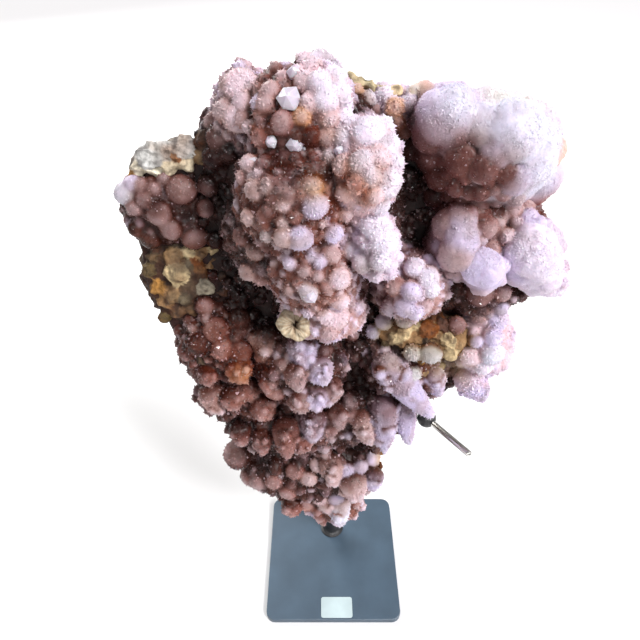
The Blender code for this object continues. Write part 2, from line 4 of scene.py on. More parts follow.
import bpy
import numpy as np
from mathutils.kdtree import KDTree
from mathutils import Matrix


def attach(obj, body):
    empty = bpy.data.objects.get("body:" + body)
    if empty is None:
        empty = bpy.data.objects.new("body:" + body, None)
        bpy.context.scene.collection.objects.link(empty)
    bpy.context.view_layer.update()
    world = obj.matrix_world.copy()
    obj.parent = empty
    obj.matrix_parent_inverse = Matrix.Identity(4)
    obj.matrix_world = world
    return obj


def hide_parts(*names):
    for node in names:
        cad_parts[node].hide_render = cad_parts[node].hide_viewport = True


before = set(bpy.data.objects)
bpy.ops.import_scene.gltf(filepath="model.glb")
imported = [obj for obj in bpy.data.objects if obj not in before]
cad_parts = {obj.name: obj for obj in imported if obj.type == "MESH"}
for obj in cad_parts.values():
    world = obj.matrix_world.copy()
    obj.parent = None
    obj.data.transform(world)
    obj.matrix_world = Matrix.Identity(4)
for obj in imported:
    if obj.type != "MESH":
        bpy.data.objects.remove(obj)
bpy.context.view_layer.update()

mm = 0.001
chance = np.random.default_rng(11)
print("frame loaded")

# Places on the rock's leaning face are (across, up, out) in millimetres, as in the solids.
# Growths were picked on a picture as column and row: each pick is a line of sight
# from where the picture was taken, and the growth sits where the line first meets the rock.
rock = {
    "middle": (0.0, 30.0, 300.0),
    "lean": 12.0,
    "front": 5.0,
    "knobLift": 0.25,
    "knobLength": 1.1,
    "knobPointed": 0.15,
    "smallLength": 1.15,
    "chunkLength": 0.6,
    "bigLength": 0.42,
    "bigFrom": (4.5, 9.0),
    "fingerLift": 0.45,
    "fingerPointed": 0.6,
    "buds": 8,
    "budFrom": 6.0,
    "budRadius": (0.26, 0.44),
    "budAlong": (-0.1, 0.7),
    "budSunk": 0.45,
    "budForward": 0.9,
    "budLength": 1.3,
    "budPointed": 0.3,
    "budShade": (0.8, 1.05),
    "turnToFront": 0.35,
}
view = {
    "eye": (-12.0, -260.0, 531.0),
    "pitch": 40.9,
    "focus": 558.5,
    "half": 320.0,
}

lean = math.radians(rock["lean"])
pitch = math.radians(view["pitch"])
acrossWay = np.array([1.0, 0.0, 0.0])
upWay = np.array([0.0, math.sin(lean), math.cos(lean)])
outWay = np.array([0.0, -math.cos(lean), math.sin(lean)])
faceAxes = np.stack([acrossWay, upWay, outWay])
faceMiddle = np.array(rock["middle"])
eye = np.array(view["eye"])

# Colours of the crystals and the rock, as red, green and blue from 0 to 255
tints = {
    "white": (240, 229, 246),
    "lilac": (216, 203, 238),
    "blush": (234, 202, 210),
    "rose": (190, 152, 157),
    "salmon": (158, 116, 110),
    "mauve": (174, 146, 154),
    "clay": (128, 86, 72),
    "taupe": (102, 67, 55),
    "umber": (82, 52, 38),
    "cocoa": (120, 90, 89),
    "peach": (236, 182, 148),
    "honey": (196, 150, 84),
    "cream": (236, 222, 192),
    "ivory": (248, 242, 220),
    "beige": (176, 144, 110),
    "rust": (146, 80, 46),
    "plum": (62, 36, 44),
    "grey": (206, 206, 204),
    "olive": (120, 104, 72),
    "dark": (40, 17, 13),
    "amber": (138, 80, 30),
    "slate": (84, 70, 58),
    "frost": (230, 230, 250),
    "pearl": (242, 229, 249),
}


def linear(color):
    # a screen colour from 0 to 255 as the light it stands for
    share = np.array(color, float) / 255.0
    return np.where(share <= 0.04045, share / 12.92, ((share + 0.055) / 1.055) ** 2.4)


tintLight = {name: linear(color) for name, color in tints.items()}

# Each mass: middle (across, up, out), half sizes, turn and tint
masses = {
    "crownTop": (-11, 124, 20, 15, 17, 20, 0, "blush"),
    "crownHead": (-24, 112, 16, 30, 28, 26, 0, "clay"),
    "crownShoulder": (10, 91, 25, 20, 27, 30, -8, "blush"),
    "crownChest": (-24, 74, 26, 34, 36, 30, 10, "clay"),
    "crownBelly": (-16, 36, 24, 28, 32, 30, 12, "salmon"),
    "crownFoot": (-7, 2, 20, 23, 17, 22, 0, "rose"),
    "crownHeel": (-26, -3, 22, 10, 10, 12, 0, "rose"),
    "crownFlank": (-46, 46, 16, 20, 27, 22, 18, "taupe"),
    "crownSeam": (5, 66, 16, 16, 26, 20, 0, "rust"),
    "crownLobe": (19, 50, 34, 13, 19, 17, 8, "white"),
    "crownSide": (45, 17, 14, 22, 22, 24, -20, "rose"),
    "crownRoot": (-8, 62, 2, 46, 68, 22, 0, "umber"),
    "dome": (84, 96, 5, 37, 31, 28, -8, "frost"),
    "domeCorner": (59, 113, 6, 20, 17, 22, 0, "lilac"),
    "valleyTop": (28, 114, -4, 30, 14, 14, 0, "white"),
    "lobesBase": (96, 40, -2, 34, 32, 22, -10, "taupe"),
    "lobeLeft": (71, 44, 12, 17, 23, 20, -14, "mauve"),
    "lobeMid": (86, 30, 20, 12, 13, 15, 0, "lilac"),
    "lobeRight": (117, 36, 10, 15, 22, 18, 10, "pearl"),
    "lobeTip": (131, 18, 6, 15, 11, 12, -35, "pearl"),
    "lobesUnder": (92, 6, 0, 30, 13, 16, 0, "umber"),
    "ledge": (62, -24, 4, 40, 18, 19, -6, "beige"),
    "ledgeRight": (99, -32, 2, 20, 27, 18, 8, "blush"),
    "fingerBase": (46, -52, 0, 30, 30, 18, 30, "clay"),
    "upperLeft": (-54, 117, 2, 17, 23, 20, 0, "mauve"),
    "upperLeftLow": (-62, 96, -2, 20, 22, 16, 20, "plum"),
    "leftRim": (-102, 90, -6, 26, 10, 14, 14, "grey"),
    "leftCluster": (-106, 60, -6, 28, 25, 17, 0, "taupe"),
    "leftMatrix": (-104, 12, -6, 26, 36, 18, 10, "umber"),
    "leftShelf": (-78, -36, 0, 30, 32, 20, 20, "clay"),
    "leftShelfLow": (-70, -76, 0, 30, 18, 20, 0, "taupe"),
    "tierHigh": (-26, -48, 6, 32, 30, 24, 0, "taupe"),
    "tierMid": (-28, -104, 8, 50, 20, 14, 0, "taupe"),
    "tierMidRight": (22, -92, 6, 28, 24, 12, 30, "clay"),
    "tierLow": (-16, -150, 5, 50, 27, 12, 0, "taupe"),
    "tierTip": (-2, -184, 2, 24, 22, 8, 0, "salmon"),
    "backLeft": (-66, 66, -22, 38, 34, 15, 20, "beige"),
    "backTop": (20, 98, -20, 52, 26, 15, -10, "grey"),
    "backRight": (66, 40, -22, 40, 46, 13, 30, "beige"),
    "backMiddle": (-10, 10, -26, 46, 42, 13, 0, "beige"),
    "backLow": (-48, -40, -18, 34, 36, 12, -25, "grey"),
    "backLowRight": (58, -26, -16, 32, 34, 14, 10, "beige"),
}

# Masses of bare rock in front. Those at the back are bare too.
bareMasses = ("ledge", "leftRim", "leftMatrix")

# How much of their lightness these masses keep: part iron staining, part painted shade where they
# lie under or beside larger masses
dimming = {
    "tierHigh": 0.85, "tierMid": 0.6, "tierMidRight": 0.6, "tierLow": 0.66, "tierTip": 0.85,
    "leftShelf": 0.74, "leftShelfLow": 0.7, "leftCluster": 0.8, "upperLeftLow": 0.5,
    "leftMatrix": 0.66, "lobesUnder": 0.75, "fingerBase": 0.8, "crownFlank": 0.75,
    "crownRoot": 0.7, "crownHead": 0.95, "ledge": 0.72,
}

# The pieces that the growths are fused into, by the masses that they stand on
regions = {
    "crown": (
        "crownTop", "crownHead", "crownShoulder", "crownLobe", "crownSeam", "crownChest", "crownFlank",
        "crownRoot", "crownBelly", "crownFoot", "crownHeel", "crownSide"),
    "dome": ("dome", "domeCorner", "valleyTop"),
    "lobes": (
        "lobesBase", "lobeLeft", "lobeMid", "lobeRight", "lobeTip", "lobesUnder", "ledgeRight", "fingerBase",
        "ledge"),
    "left": (
        "upperLeft", "upperLeftLow", "leftCluster", "leftShelf", "leftShelfLow", "leftRim", "leftMatrix"),
    "tiers": ("tierHigh", "tierMid", "tierMidRight", "tierLow", "tierTip"),
}

# Round knobs: column, row, radius in millimetres, tint
knobPicks = (
    (312, 70, 6, "blush"), (324, 66, 5.5, "white"), (305, 84, 6, "blush"), (320, 84, 6.5, "white"),
    (334, 78, 5.5, "white"), (340, 96, 6, "white"), (326, 100, 7, "white"), (310, 104, 6, "blush"),
    (342, 114, 5.5, "white"), (328, 116, 5.5, "blush"), (270, 93, 5.2, "rose"), (302, 116, 5, "peach"),
    (283, 122, 6, "rose"), (262, 138, 5.6, "rose"), (352, 128, 6.5, "white"), (370, 133, 9, "white"),
    (388, 145, 7, "white"), (363, 162, 6.5, "white"), (358, 183, 5, "blush"), (387, 183, 8.5, "white"),
    (380, 204, 6, "white"), (326, 136, 4.5, "blush"), (334, 148, 5, "blush"), (330, 158, 4.5, "white"),
    (344, 166, 5, "blush"), (344, 138, 5, "white"), (376, 158, 6, "blush"), (392, 162, 6, "white"),
    (370, 176, 5, "white"), (372, 194, 5, "blush"), (352, 118, 5, "white"), (384, 128, 6, "white"),
    (252, 164, 5, "blush"), (237, 188, 4.2, "blush"), (256, 190, 5.8, "blush"), (269, 186, 4.6, "blush"),
    (313, 186, 4.6, "blush"), (316, 206, 7, "lilac"), (346, 192, 5, "blush"), (345, 213, 4.4, "blush"),
    (333, 232, 5.6, "lilac"), (352, 230, 4.4, "blush"), (300, 238, 7.2, "lilac"), (285, 236, 5.6, "blush"),
    (250, 216, 5, "blush"), (242, 236, 5.5, "rose"), (256, 251, 6, "blush"), (249, 270, 5.2, "blush"),
    (262, 276, 4.5, "rose"), (290, 264, 4.2, "lilac"), (338, 278, 6.2, "blush"), (352, 250, 6.6, "white"),
    (362, 263, 5.6, "white"), (376, 226, 7, "white"), (384, 244, 7.5, "white"), (380, 259, 5.6, "white"),
    (395, 263, 4.6, "white"), (309, 291, 5.2, "white"), (290, 306, 6, "blush"), (326, 311, 5.2, "blush"),
    (336, 316, 8, "blush"), (330, 330, 5.2, "rose"), (350, 334, 5.6, "rose"), (340, 300, 5, "blush"),
    (415, 268, 6.6, "white"), (428, 278, 7, "white"), (431, 289, 5.6, "white"), (411, 291, 6, "lilac"),
    (395, 286, 5.6, "rose"), (375, 294, 4.6, "rose"), (405, 306, 6.6, "lilac"), (391, 306, 5.6, "lilac"),
    (384, 322, 5.6, "lilac"), (405, 319, 5.6, "lilac"), (374, 331, 4.6, "lilac"), (357, 104, 4.5, "plum"),
    (398, 121, 4.5, "peach"), (395, 108, 6, "peach"), (409, 104, 5, "white"), (388, 121, 5, "umber"),
    (412, 150, 5, "clay"), (410, 176, 6, "plum"), (368, 100, 5, "white"), (384, 96, 5, "white"),
    (355, 92, 4.5, "peach"), (414, 92, 4, "cream"), (426, 96, 4, "beige"), (455, 108, 11, "frost"),
    (436, 112, 9.5, "lilac"), (440, 128, 9, "lilac"), (485, 125, 11, "frost"), (516, 130, 15, "frost"),
    (541, 141, 10, "frost"), (536, 166, 10, "frost"), (515, 180, 8.5, "lilac"), (549, 123, 9, "lilac"),
    (552, 152, 7, "peach"), (549, 182, 10, "lilac"), (536, 194, 7, "rust"), (455, 136, 9, "lilac"),
    (428, 138, 9, "mauve"), (430, 158, 9, "mauve"), (438, 178, 8, "cocoa"), (496, 152, 8, "lilac"),
    (460, 160, 9, "cocoa"), (484, 168, 8, "mauve"), (434, 197, 7, "umber"), (447, 205, 7, "cocoa"),
    (462, 211, 7.5, "cocoa"), (478, 212, 7, "cocoa"), (494, 210, 7, "cocoa"), (509, 205, 6.5, "rose"),
    (523, 199, 6, "rust"), (456, 187, 5, "cocoa"), (481, 191, 5, "cocoa"), (447, 224, 8.5, "mauve"),
    (461, 219, 8.5, "lilac"), (462, 240, 9, "lilac"), (455, 254, 9, "mauve"), (482, 267, 10.5, "lilac"),
    (491, 247, 5.5, "rose"), (521, 250, 10, "pearl"), (527, 238, 8, "pearl"), (514, 271, 9, "lilac"),
    (529, 263, 8, "pearl"), (545, 270, 8, "pearl"), (548, 281, 7, "pearl"), (534, 286, 5.5, "white"),
    (506, 235, 5, "blush"), (486, 228, 6, "rose"), (512, 210, 5.5, "rose"), (528, 221, 7, "lilac"),
    (525, 204, 5.5, "rose"), (480, 291, 9, "mauve"), (501, 293, 6, "rose"), (455, 286, 7, "umber"),
    (446, 301, 6, "umber"), (500, 306, 5, "lilac"), (497, 321, 6.5, "lilac"), (493, 337, 6, "lilac"),
    (475, 341, 5, "lilac"), (471, 356, 7, "blush"), (493, 353, 8, "frost"), (483, 366, 5.5, "white"),
    (456, 325, 6, "rose"), (480, 314, 6, "rose"), (430, 353, 7, "grey"), (413, 352, 5.5, "grey"),
    (414, 372, 5, "grey"), (126, 193, 6.5, "frost"), (141, 186, 5, "mauve"), (146, 199, 5, "mauve"),
    (136, 207, 5, "mauve"), (182, 190, 9, "mauve"), (208, 185, 6.5, "mauve"), (204, 208, 5.5, "mauve"),
    (161, 214, 7.5, "mauve"), (170, 228, 7, "mauve"), (138, 229, 5.5, "umber"), (151, 239, 7, "umber"),
    (195, 238, 8, "mauve"), (216, 240, 5.5, "umber"), (134, 184, 5, "lilac"), (240, 84, 8.5, "blush"),
    (254, 89, 5, "blush"), (243, 104, 7.5, "blush"), (238, 118, 7.5, "blush"), (226, 111, 5, "mauve"),
    (215, 121, 5, "mauve"), (220, 138, 7, "mauve"), (214, 158, 6, "plum"), (230, 151, 5, "plum"),
    (240, 352, 8, "rose"), (222, 350, 7, "rose"), (275, 392, 8, "rose"), (197, 345, 8, "umber"),
    (216, 330, 8, "rose"), (240, 318, 7, "umber"), (205, 305, 6, "rose"), (236, 455, 11, "mauve"),
    (355, 416, 6, "rose"), (351, 400, 6, "mauve"), (318, 464, 6, "blush"), (346, 470, 7, "lilac"),
    (360, 466, 6, "lilac"), (372, 458, 6.5, "lilac"), (287, 491, 7, "rose"), (274, 481, 7, "rose"),
    (309, 478, 6.5, "blush"), (258, 481, 7, "mauve"), (248, 476, 6.5, "mauve"), (306, 502, 8, "rose"),
    (322, 498, 7, "blush"), (336, 496, 6.5, "lilac"), (295, 470, 7, "rose"),
)

# Smaller knobs between them, in the same form
smallPicks = (
    (258, 187, 4, "rose"), (277, 183, 4, "rose"), (285, 183, 3, "mauve"), (297, 184, 3, "mauve"),
    (306, 181, 3, "mauve"), (245, 178, 4, "rose"), (265, 163, 4, "mauve"), (288, 195, 4, "blush"),
    (275, 198, 4, "rose"), (282, 203, 4, "blush"), (300, 195, 3, "rose"), (265, 215, 4, "rose"),
    (270, 210, 4, "mauve"), (283, 222, 3, "blush"), (268, 234, 3, "white"), (311, 257, 3, "lilac"),
    (320, 262, 4, "lilac"), (318, 275, 4, "mauve"), (305, 270, 4, "mauve"), (330, 255, 5, "rose"),
    (275, 270, 4, "rose"), (328, 290, 3, "rose"), (305, 62, 4, "blush"), (320, 60, 5, "white"),
    (335, 92, 7, "white"), (283, 78, 4, "rose"), (268, 105, 5, "rose"), (310, 135, 5, "clay"),
    (360, 285, 5, "mauve"), (358, 295, 4, "plum"), (415, 310, 5, "lilac"), (350, 112, 5, "plum"),
    (365, 112, 4, "plum"), (375, 110, 3, "mauve"), (412, 100, 5, "lilac"), (417, 122, 4, "plum"),
    (405, 130, 4, "peach"), (425, 90, 4, "peach"), (412, 182, 6, "plum"), (490, 235, 4, "rose"),
    (498, 222, 4, "blush"), (448, 172, 4, "mauve"), (456, 180, 3.5, "cocoa"), (466, 176, 4, "salmon"),
    (477, 171, 3.5, "mauve"), (487, 179, 4, "cocoa"), (470, 191, 4, "rose"), (494, 187, 4, "mauve"),
    (503, 193, 4.5, "rose"), (450, 194, 4, "umber"), (463, 199, 4.5, "cocoa"), (481, 203, 4, "mauve"),
    (500, 205, 4, "rust"), (444, 161, 4, "mauve"), (432, 171, 4.5, "mauve"), (515, 197, 4, "mauve"),
    (505, 214, 3.5, "blush"), (494, 228, 4, "rose"), (516, 222, 4, "blush"), (537, 225, 4, "lilac"),
    (505, 171, 6, "umber"), (492, 350, 7, "white"), (155, 190, 4, "mauve"), (165, 180, 4, "mauve"),
    (252, 90, 5, "rose"), (228, 85, 4, "mauve"), (245, 118, 5, "rose"), (285, 365, 5, "mauve"),
    (268, 372, 4, "umber"), (225, 345, 5, "rose"), (288, 408, 5, "rose"), (233, 385, 5, "rose"),
)

# Pointed fingers: column and row of root and tip, radius, how far the tip stands out, tint
fingerPicks = (
    (388, 368, 433, 417, 10.5, 8, "lilac"), (402, 402, 409, 445, 8, 6, "lilac"),
    (384, 408, 384, 454, 9, 6, "lilac"), (362, 420, 372, 446, 7.5, 4, "blush"),
    (470, 378, 484, 401, 10.5, 6, "lilac"), (435, 376, 440, 397, 6, 0, "lilac"),
    (266, 338, 266, 364, 10, 8, "blush"), (302, 346, 305, 369, 8.5, 8, "lilac"),
    (296, 372, 300, 392, 7, 7, "mauve"), (320, 368, 326, 385, 8, 8, "lilac"),
    (332, 386, 333, 402, 6.5, 6, "mauve"), (318, 396, 317, 412, 8.5, 7, "lilac"),
    (300, 398, 303, 412, 8, 7, "mauve"), (208, 374, 208, 386, 7, 4, "rose"),
    (240, 368, 238, 383, 9, 7, "peach"), (250, 388, 250, 401, 7, 6, "rose"),
    (267, 383, 269, 395, 5.5, 6, "rose"), (232, 398, 238, 409, 8, 4, "rose"),
    (213, 394, 218, 415, 9, 4, "blush"), (263, 406, 270, 420, 9, 6, "rose"),
    (313, 420, 312, 443, 9.5, 7, "lilac"), (337, 414, 339, 429, 9, 7, "mauve"),
    (330, 426, 330, 438, 6, 4, "mauve"), (286, 430, 287, 459, 9.5, 8, "rose"),
    (301, 440, 303, 452, 7, 4, "rose"), (263, 437, 263, 456, 7, 4, "rose"),
    (240, 430, 242, 447, 7.5, 4, "rose"), (330, 462, 336, 488, 9, 6, "blush"),
    (374, 476, 373, 491, 7, 3, "lilac"), (352, 482, 356, 501, 10.5, 6, "blush"),
    (292, 503, 292, 515, 9, 3, "rose"), (340, 505, 341, 526, 8, 4, "frost"),
    (325, 500, 331, 515, 6.5, 3, "blush"), (308, 66, 302, 58, 4, 2, "blush"),
    (318, 62, 316, 53, 4.5, 2, "white"), (328, 62, 330, 54, 4, 2, "white"),
    (334, 68, 341, 60, 4, 2, "white"), (338, 80, 347, 74, 4, 2, "white"), (342, 92, 351, 88, 4, 3, "white"),
    (345, 104, 353, 103, 3.6, 3, "white"), (344, 116, 352, 118, 3.6, 3, "white"),
    (300, 74, 293, 67, 3.6, 2, "blush"), (310, 100, 303, 96, 3.4, 4, "blush"),
)

# Chunks of bare rock in the matrix: column, row, radius, tint
chunkPicks = (
    (150, 155, 10, "grey"), (140, 170, 6.5, "ivory"), (155, 172, 6.5, "ivory"), (170, 170, 6.5, "cream"),
    (185, 166, 6.5, "cream"), (199, 158, 6, "beige"), (182, 145, 9, "grey"), (205, 141, 8, "taupe"),
    (178, 157, 5, "amber"), (131, 175, 3.5, "honey"), (193, 150, 4.5, "slate"), (164, 143, 6, "grey"),
    (172, 257, 6.5, "beige"), (177, 275, 9, "cream"), (190, 250, 5, "cream"), (202, 253, 5, "beige"),
    (213, 250, 4, "cream"), (214, 264, 5.5, "beige"), (206, 288, 7, "grey"), (150, 257, 6, "slate"),
    (148, 270, 6, "olive"), (158, 288, 7, "honey"), (171, 294, 6.5, "beige"), (165, 304, 6, "beige"),
    (185, 300, 5.5, "slate"), (152, 247, 5, "taupe"), (176, 312, 6, "taupe"), (164, 320, 5.5, "olive"),
    (190, 266, 4, "slate"), (222, 276, 5, "umber"), (225, 292, 5, "taupe"), (196, 312, 5.5, "umber"),
    (386, 345, 4, "cream"), (395, 339, 5.5, "cream"), (404, 332, 6, "cream"), (414, 325, 5, "cream"),
    (428, 331, 7, "amber"), (437, 313, 7.5, "amber"), (447, 325, 6, "taupe"), (449, 341, 6, "cream"),
    (452, 353, 6.5, "cream"), (440, 369, 6, "cream"), (453, 366, 4.5, "amber"), (397, 354, 5, "taupe"),
    (420, 362, 5, "honey"), (426, 340, 4, "slate"), (460, 345, 5, "beige"), (424, 372, 5, "beige"),
    (340, 77, 4.5, "ivory"), (350, 78, 4.5, "ivory"), (361, 81, 4.5, "ivory"), (372, 85, 4, "ivory"),
    (384, 87, 4, "ivory"), (396, 90, 4, "ivory"), (552, 150, 4.5, "peach"), (384, 452, 4, "honey"),
    (200, 267, 5, "amber"), (207, 273, 4, "amber"), (193, 263, 3.5, "amber"), (381, 466, 4, "amber"),
    (228, 420, 5, "umber"), (232, 432, 4, "honey"), (200, 360, 4.5, "umber"),
)

# Patches of iron staining and of painted shade: the "dark" ones in the caves and hollows are painted
# shade, and the wide "umber" ones over the left and lower parts and the "cocoa" ones under the dome are
# part iron staining, part painted shade. Column, row, radius in millimetres, tint, strength
stainsAndShade = (
    (316, 131, 11, "rust", 0.6), (262, 138, 9, "rust", 0.6), (352, 185, 16, "rust", 0.6),
    (290, 164, 22, "dark", 0.75), (260, 240, 26, "umber", 0.4), (298, 296, 18, "umber", 0.4),
    (365, 268, 12, "umber", 0.4), (474, 184, 24, "cocoa", 0.95), (545, 192, 12, "rust", 0.6),
    (440, 168, 20, "cocoa", 0.8), (462, 156, 15, "cocoa", 0.8), (495, 172, 12, "cocoa", 0.6),
    (428, 140, 14, "mauve", 0.8), (436, 188, 16, "cocoa", 0.9), (462, 202, 14, "cocoa", 0.9),
    (488, 203, 11, "cocoa", 0.8), (445, 150, 12, "cocoa", 0.5), (520, 190, 8, "mauve", 0.5),
    (502, 98, 8, "ivory", 0.7), (522, 103, 8, "ivory", 0.7), (542, 110, 8, "ivory", 0.7),
    (484, 94, 7, "ivory", 0.6), (556, 152, 6, "peach", 0.8), (356, 112, 12, "plum", 0.7),
    (417, 122, 9, "plum", 0.9), (410, 160, 24, "dark", 0.7), (362, 86, 12, "honey", 0.3),
    (495, 220, 14, "cocoa", 0.5), (475, 292, 20, "cocoa", 0.6), (385, 300, 20, "umber", 0.5),
    (430, 322, 20, "umber", 0.8), (395, 337, 16, "cream", 0.7), (455, 367, 7, "rust", 0.9),
    (450, 360, 16, "cream", 0.7), (178, 155, 9, "rust", 0.8), (200, 270, 16, "rust", 0.7),
    (152, 267, 14, "olive", 0.7), (160, 288, 12, "honey", 0.7), (216, 350, 34, "rust", 0.45),
    (262, 412, 14, "rust", 0.8), (300, 503, 14, "rust", 0.4), (384, 458, 9, "honey", 0.8),
    (240, 460, 20, "umber", 0.5), (300, 480, 30, "clay", 0.3), (168, 216, 34, "umber", 0.45),
    (316, 188, 7, "honey", 0.5), (348, 168, 4, "rust", 0.8), (362, 192, 6, "rust", 0.7),
    (270, 212, 12, "umber", 0.35), (215, 345, 52, "umber", 0.35), (285, 430, 40, "clay", 0.3),
    (250, 370, 20, "rust", 0.35), (410, 192, 13, "dark", 0.95), (250, 265, 34, "umber", 0.4),
    (222, 165, 30, "umber", 0.5), (415, 205, 13, "dark", 0.95), (425, 238, 12, "dark", 0.95),
    (403, 222, 7, "dark", 0.8), (245, 292, 14, "dark", 0.95), (268, 318, 12, "dark", 0.95),
    (232, 262, 10, "dark", 0.8), (225, 225, 12, "dark", 0.85), (222, 190, 12, "dark", 0.8),
    (212, 165, 11, "dark", 0.8), (355, 374, 10, "dark", 0.95), (362, 392, 10, "dark", 0.9),
    (346, 446, 13, "dark", 0.95), (360, 442, 10, "dark", 0.95), (240, 419, 12, "dark", 0.95),
    (340, 358, 8, "dark", 0.8), (405, 395, 8, "dark", 0.7), (208, 262, 9, "dark", 0.6),
    (188, 218, 6, "dark", 0.8), (157, 205, 5, "dark", 0.7), (262, 462, 8, "dark", 0.7),
    (300, 462, 7, "dark", 0.6), (245, 492, 9, "dark", 0.7),
)


def blend(start, end, share):
    return start + (end - start) * share


def smooth(share):
    # an s-curve from nothing to one
    share = np.clip(share, 0.0, 1.0)
    return share * share * (3.0 - 2.0 * share)


def listed(picks, place):
    return np.array([pick[place] for pick in picks])


def lights(picks, place):
    return np.array([tintLight[pick[place]] for pick in picks])


# Numbers for the fine noise and the round bumps, the same in every run
noiseLattice = chance.random((32, 32, 32))
bumpLattice = 0.15 + 0.7 * chance.random((24, 24, 24, 3))


def cloud(points, size, shift=0.0):
    # random lattice values blended by an s-curve along each axis, from -1 to 1
    scaled = points / size + shift
    cell = np.floor(scaled).astype(int)
    part = smooth(scaled - cell)
    total = np.zeros(len(points))
    for step in itertools.product((0, 1), repeat=3):
        near = (cell + step) % 32
        weight = np.prod(np.where(np.array(step) == 1, part, 1.0 - part), axis=1)
        total += weight * noiseLattice[near[:, 0], near[:, 1], near[:, 2]]
    return total * 2.0 - 1.0


def nodules(points, size):
    # half balls round one random place in each lattice cell: root of one minus distance squared
    scaled = points / size
    cell = np.floor(scaled).astype(int)
    nearest = np.full(len(points), 9.0)
    for step in itertools.product((-1, 0, 1), repeat=3):
        near = cell + step
        index = near % 24
        place = near + bumpLattice[index[:, 0], index[:, 1], index[:, 2]]
        nearest = np.minimum(nearest, ((scaled - place) ** 2).sum(axis=1))
    return np.sqrt(np.clip(1.0 - nearest, 0.0, 1.0))


def groundOf(name):
    return "back" if name.startswith("back") else "bare" if name in bareMasses else "druse"


def unit(ways):
    return ways / np.linalg.norm(ways, axis=-1, keepdims=True)


def onFace(across, up, out):
    # the face's middle plus so much along each of its three ways
    return faceMiddle + np.stack([across, up, out], axis=-1) @ faceAxes


def faceParts(points):
    return (points - faceMiddle) @ faceAxes.T


massNames = list(masses)
massTurns = np.radians([masses[name][6] for name in massNames])
massMiddles = np.array([onFace(*masses[name][:3]) for name in massNames])
massSizes = np.array([masses[name][3:6] for name in massNames], float)
massAxes = np.stack([
    np.cos(massTurns)[:, None] * acrossWay + np.sin(massTurns)[:, None] * upWay,
    np.cos(massTurns)[:, None] * upWay - np.sin(massTurns)[:, None] * acrossWay,
    np.broadcast_to(outWay, (len(massNames), 3)),
], axis=1)


def massNumbers(names):
    return [massNames.index(name) for name in names]


def sightLines(picks, place=0):
    # forward plus the pick's share of right and less its share of up, at unit length
    forward = np.array([0.0, math.cos(pitch), -math.sin(pitch)])
    above = np.array([0.0, math.sin(pitch), math.cos(pitch)])
    right = (listed(picks, place) - view["half"]) / view["focus"]
    down = (listed(picks, place + 1) - view["half"]) / view["focus"]
    return unit(forward + right[:, None] * acrossWay - down[:, None] * above)


def seats(picks):
    # the first of the face's plane and every ellipsoid that each line of sight meets
    lines = sightLines(picks)
    nearest = (faceMiddle + outWay * rock["front"] - eye) @ outWay / (lines @ outWay)
    start = np.einsum("mij,mj->mi", massAxes, eye - massMiddles) / massSizes
    along = np.einsum("mij,nj->nmi", massAxes, lines) / massSizes
    square = (along ** 2).sum(axis=2)
    half = (along * start).sum(axis=2)
    inside = half ** 2 - square * ((start ** 2).sum(axis=1) - 1.0)
    found = (-half - np.sqrt(np.maximum(inside, 0.0))) / square
    found = np.where(inside > 0.0, found, np.inf)
    nearest = np.minimum(nearest, found.min(axis=1))
    return eye + lines * nearest[:, None], lines


def nearestMass(points):
    # the mass whose skin is nearest, and its gradient there
    scaled = np.einsum("mij,nmj->nmi", massAxes, points[:, None] - massMiddles) / massSizes
    chosen = np.abs(np.linalg.norm(scaled, axis=2) - 1.0).argmin(axis=1)
    row = np.arange(len(points))
    gradient = scaled[row, chosen] / massSizes[chosen]
    return chosen, unit(np.einsum("ni,nij->nj", gradient, massAxes[chosen]))


def triangleGrid(rings, sides):
    # one pole, rings of so many places that close on themselves, and the other pole, as triangles
    ring, side = np.meshgrid(np.arange(rings - 1), np.arange(sides), indexing="ij")
    first = 1 + ring * sides + side
    second = 1 + ring * sides + (side + 1) % sides
    lower = np.stack([first, second, second + sides], axis=-1).reshape(-1, 3)
    upper = np.stack([first, second + sides, first + sides], axis=-1).reshape(-1, 3)
    side = np.arange(sides)
    last = rings * sides + 1
    top = np.stack([np.zeros(sides, int), 1 + (side + 1) % sides, 1 + side], axis=1)
    end = last - sides
    bottom = np.stack([np.full(sides, last), end + side, end + (side + 1) % sides], axis=1)
    return np.concatenate([top, lower, upper, bottom])


def facingOut(points, triangles):
    # turns all triangles round where the volume inside them counts as negative
    corner = points[triangles]
    volume = np.einsum("ij,ij->i", corner[:, 0], np.cross(corner[:, 1], corner[:, 2])).sum()
    return triangles if volume > 0.0 else triangles[:, ::-1]


def crosses(points, triangles):
    # each triangle's way out, twice as long as its area
    corner = points[triangles]
    return np.cross(corner[:, 1] - corner[:, 0], corner[:, 2] - corner[:, 0])


def pointWays(points, triangles):
    # the unit sum of the ways of the triangles round each point
    cross = crosses(points, triangles)
    total = np.zeros_like(points)
    for axis in range(3):
        weights = np.repeat(cross[:, axis], 3)
        total[:, axis] = np.bincount(triangles.ravel(), weights=weights, minlength=len(points))
    return total / np.maximum(np.linalg.norm(total, axis=1, keepdims=True), 1e-9)


def ringTurns(sides):
    return np.arange(sides) * 2.0 * math.pi / sides


def ballAngles(rings, sides):
    # the angle down from the pole and the one round it, for all points of a ball but its poles
    high = np.linspace(0.0, math.pi, rings + 2)[1:-1]
    high, turn = np.meshgrid(high, ringTurns(sides), indexing="ij")
    return high.ravel(), turn.ravel()


def swung(start, side, other, swing, turn):
    # the start moved by the swing across its axis, to each angle of the turn
    start = start + side * (swing * np.cos(turn))[..., None]
    return start + other * (swing * np.sin(turn))[..., None]


# How fine each lump's grid is, its bumps as size and height, and how far a point bows out
lumps = {
    "massCell": 1.9,
    "backCell": 2.6,
    "massBumps": ((8.0, 1.3), (3.9, 0.7), (26.0, 1.6)),
    "growthBumps": ((5.2, 1.1), (2.6, 0.5), (11.0, 1.1)),
    "backScale": 1.6,
    "chunkScale": 0.85,
    "bow": 1.7,
    "sixSided": 0.05,
    "grids": {"knob": (13, 20), "finger": (18, 22), "filler": (6, 9), "chunk": (24, 34), "bud": (7, 11)},
}


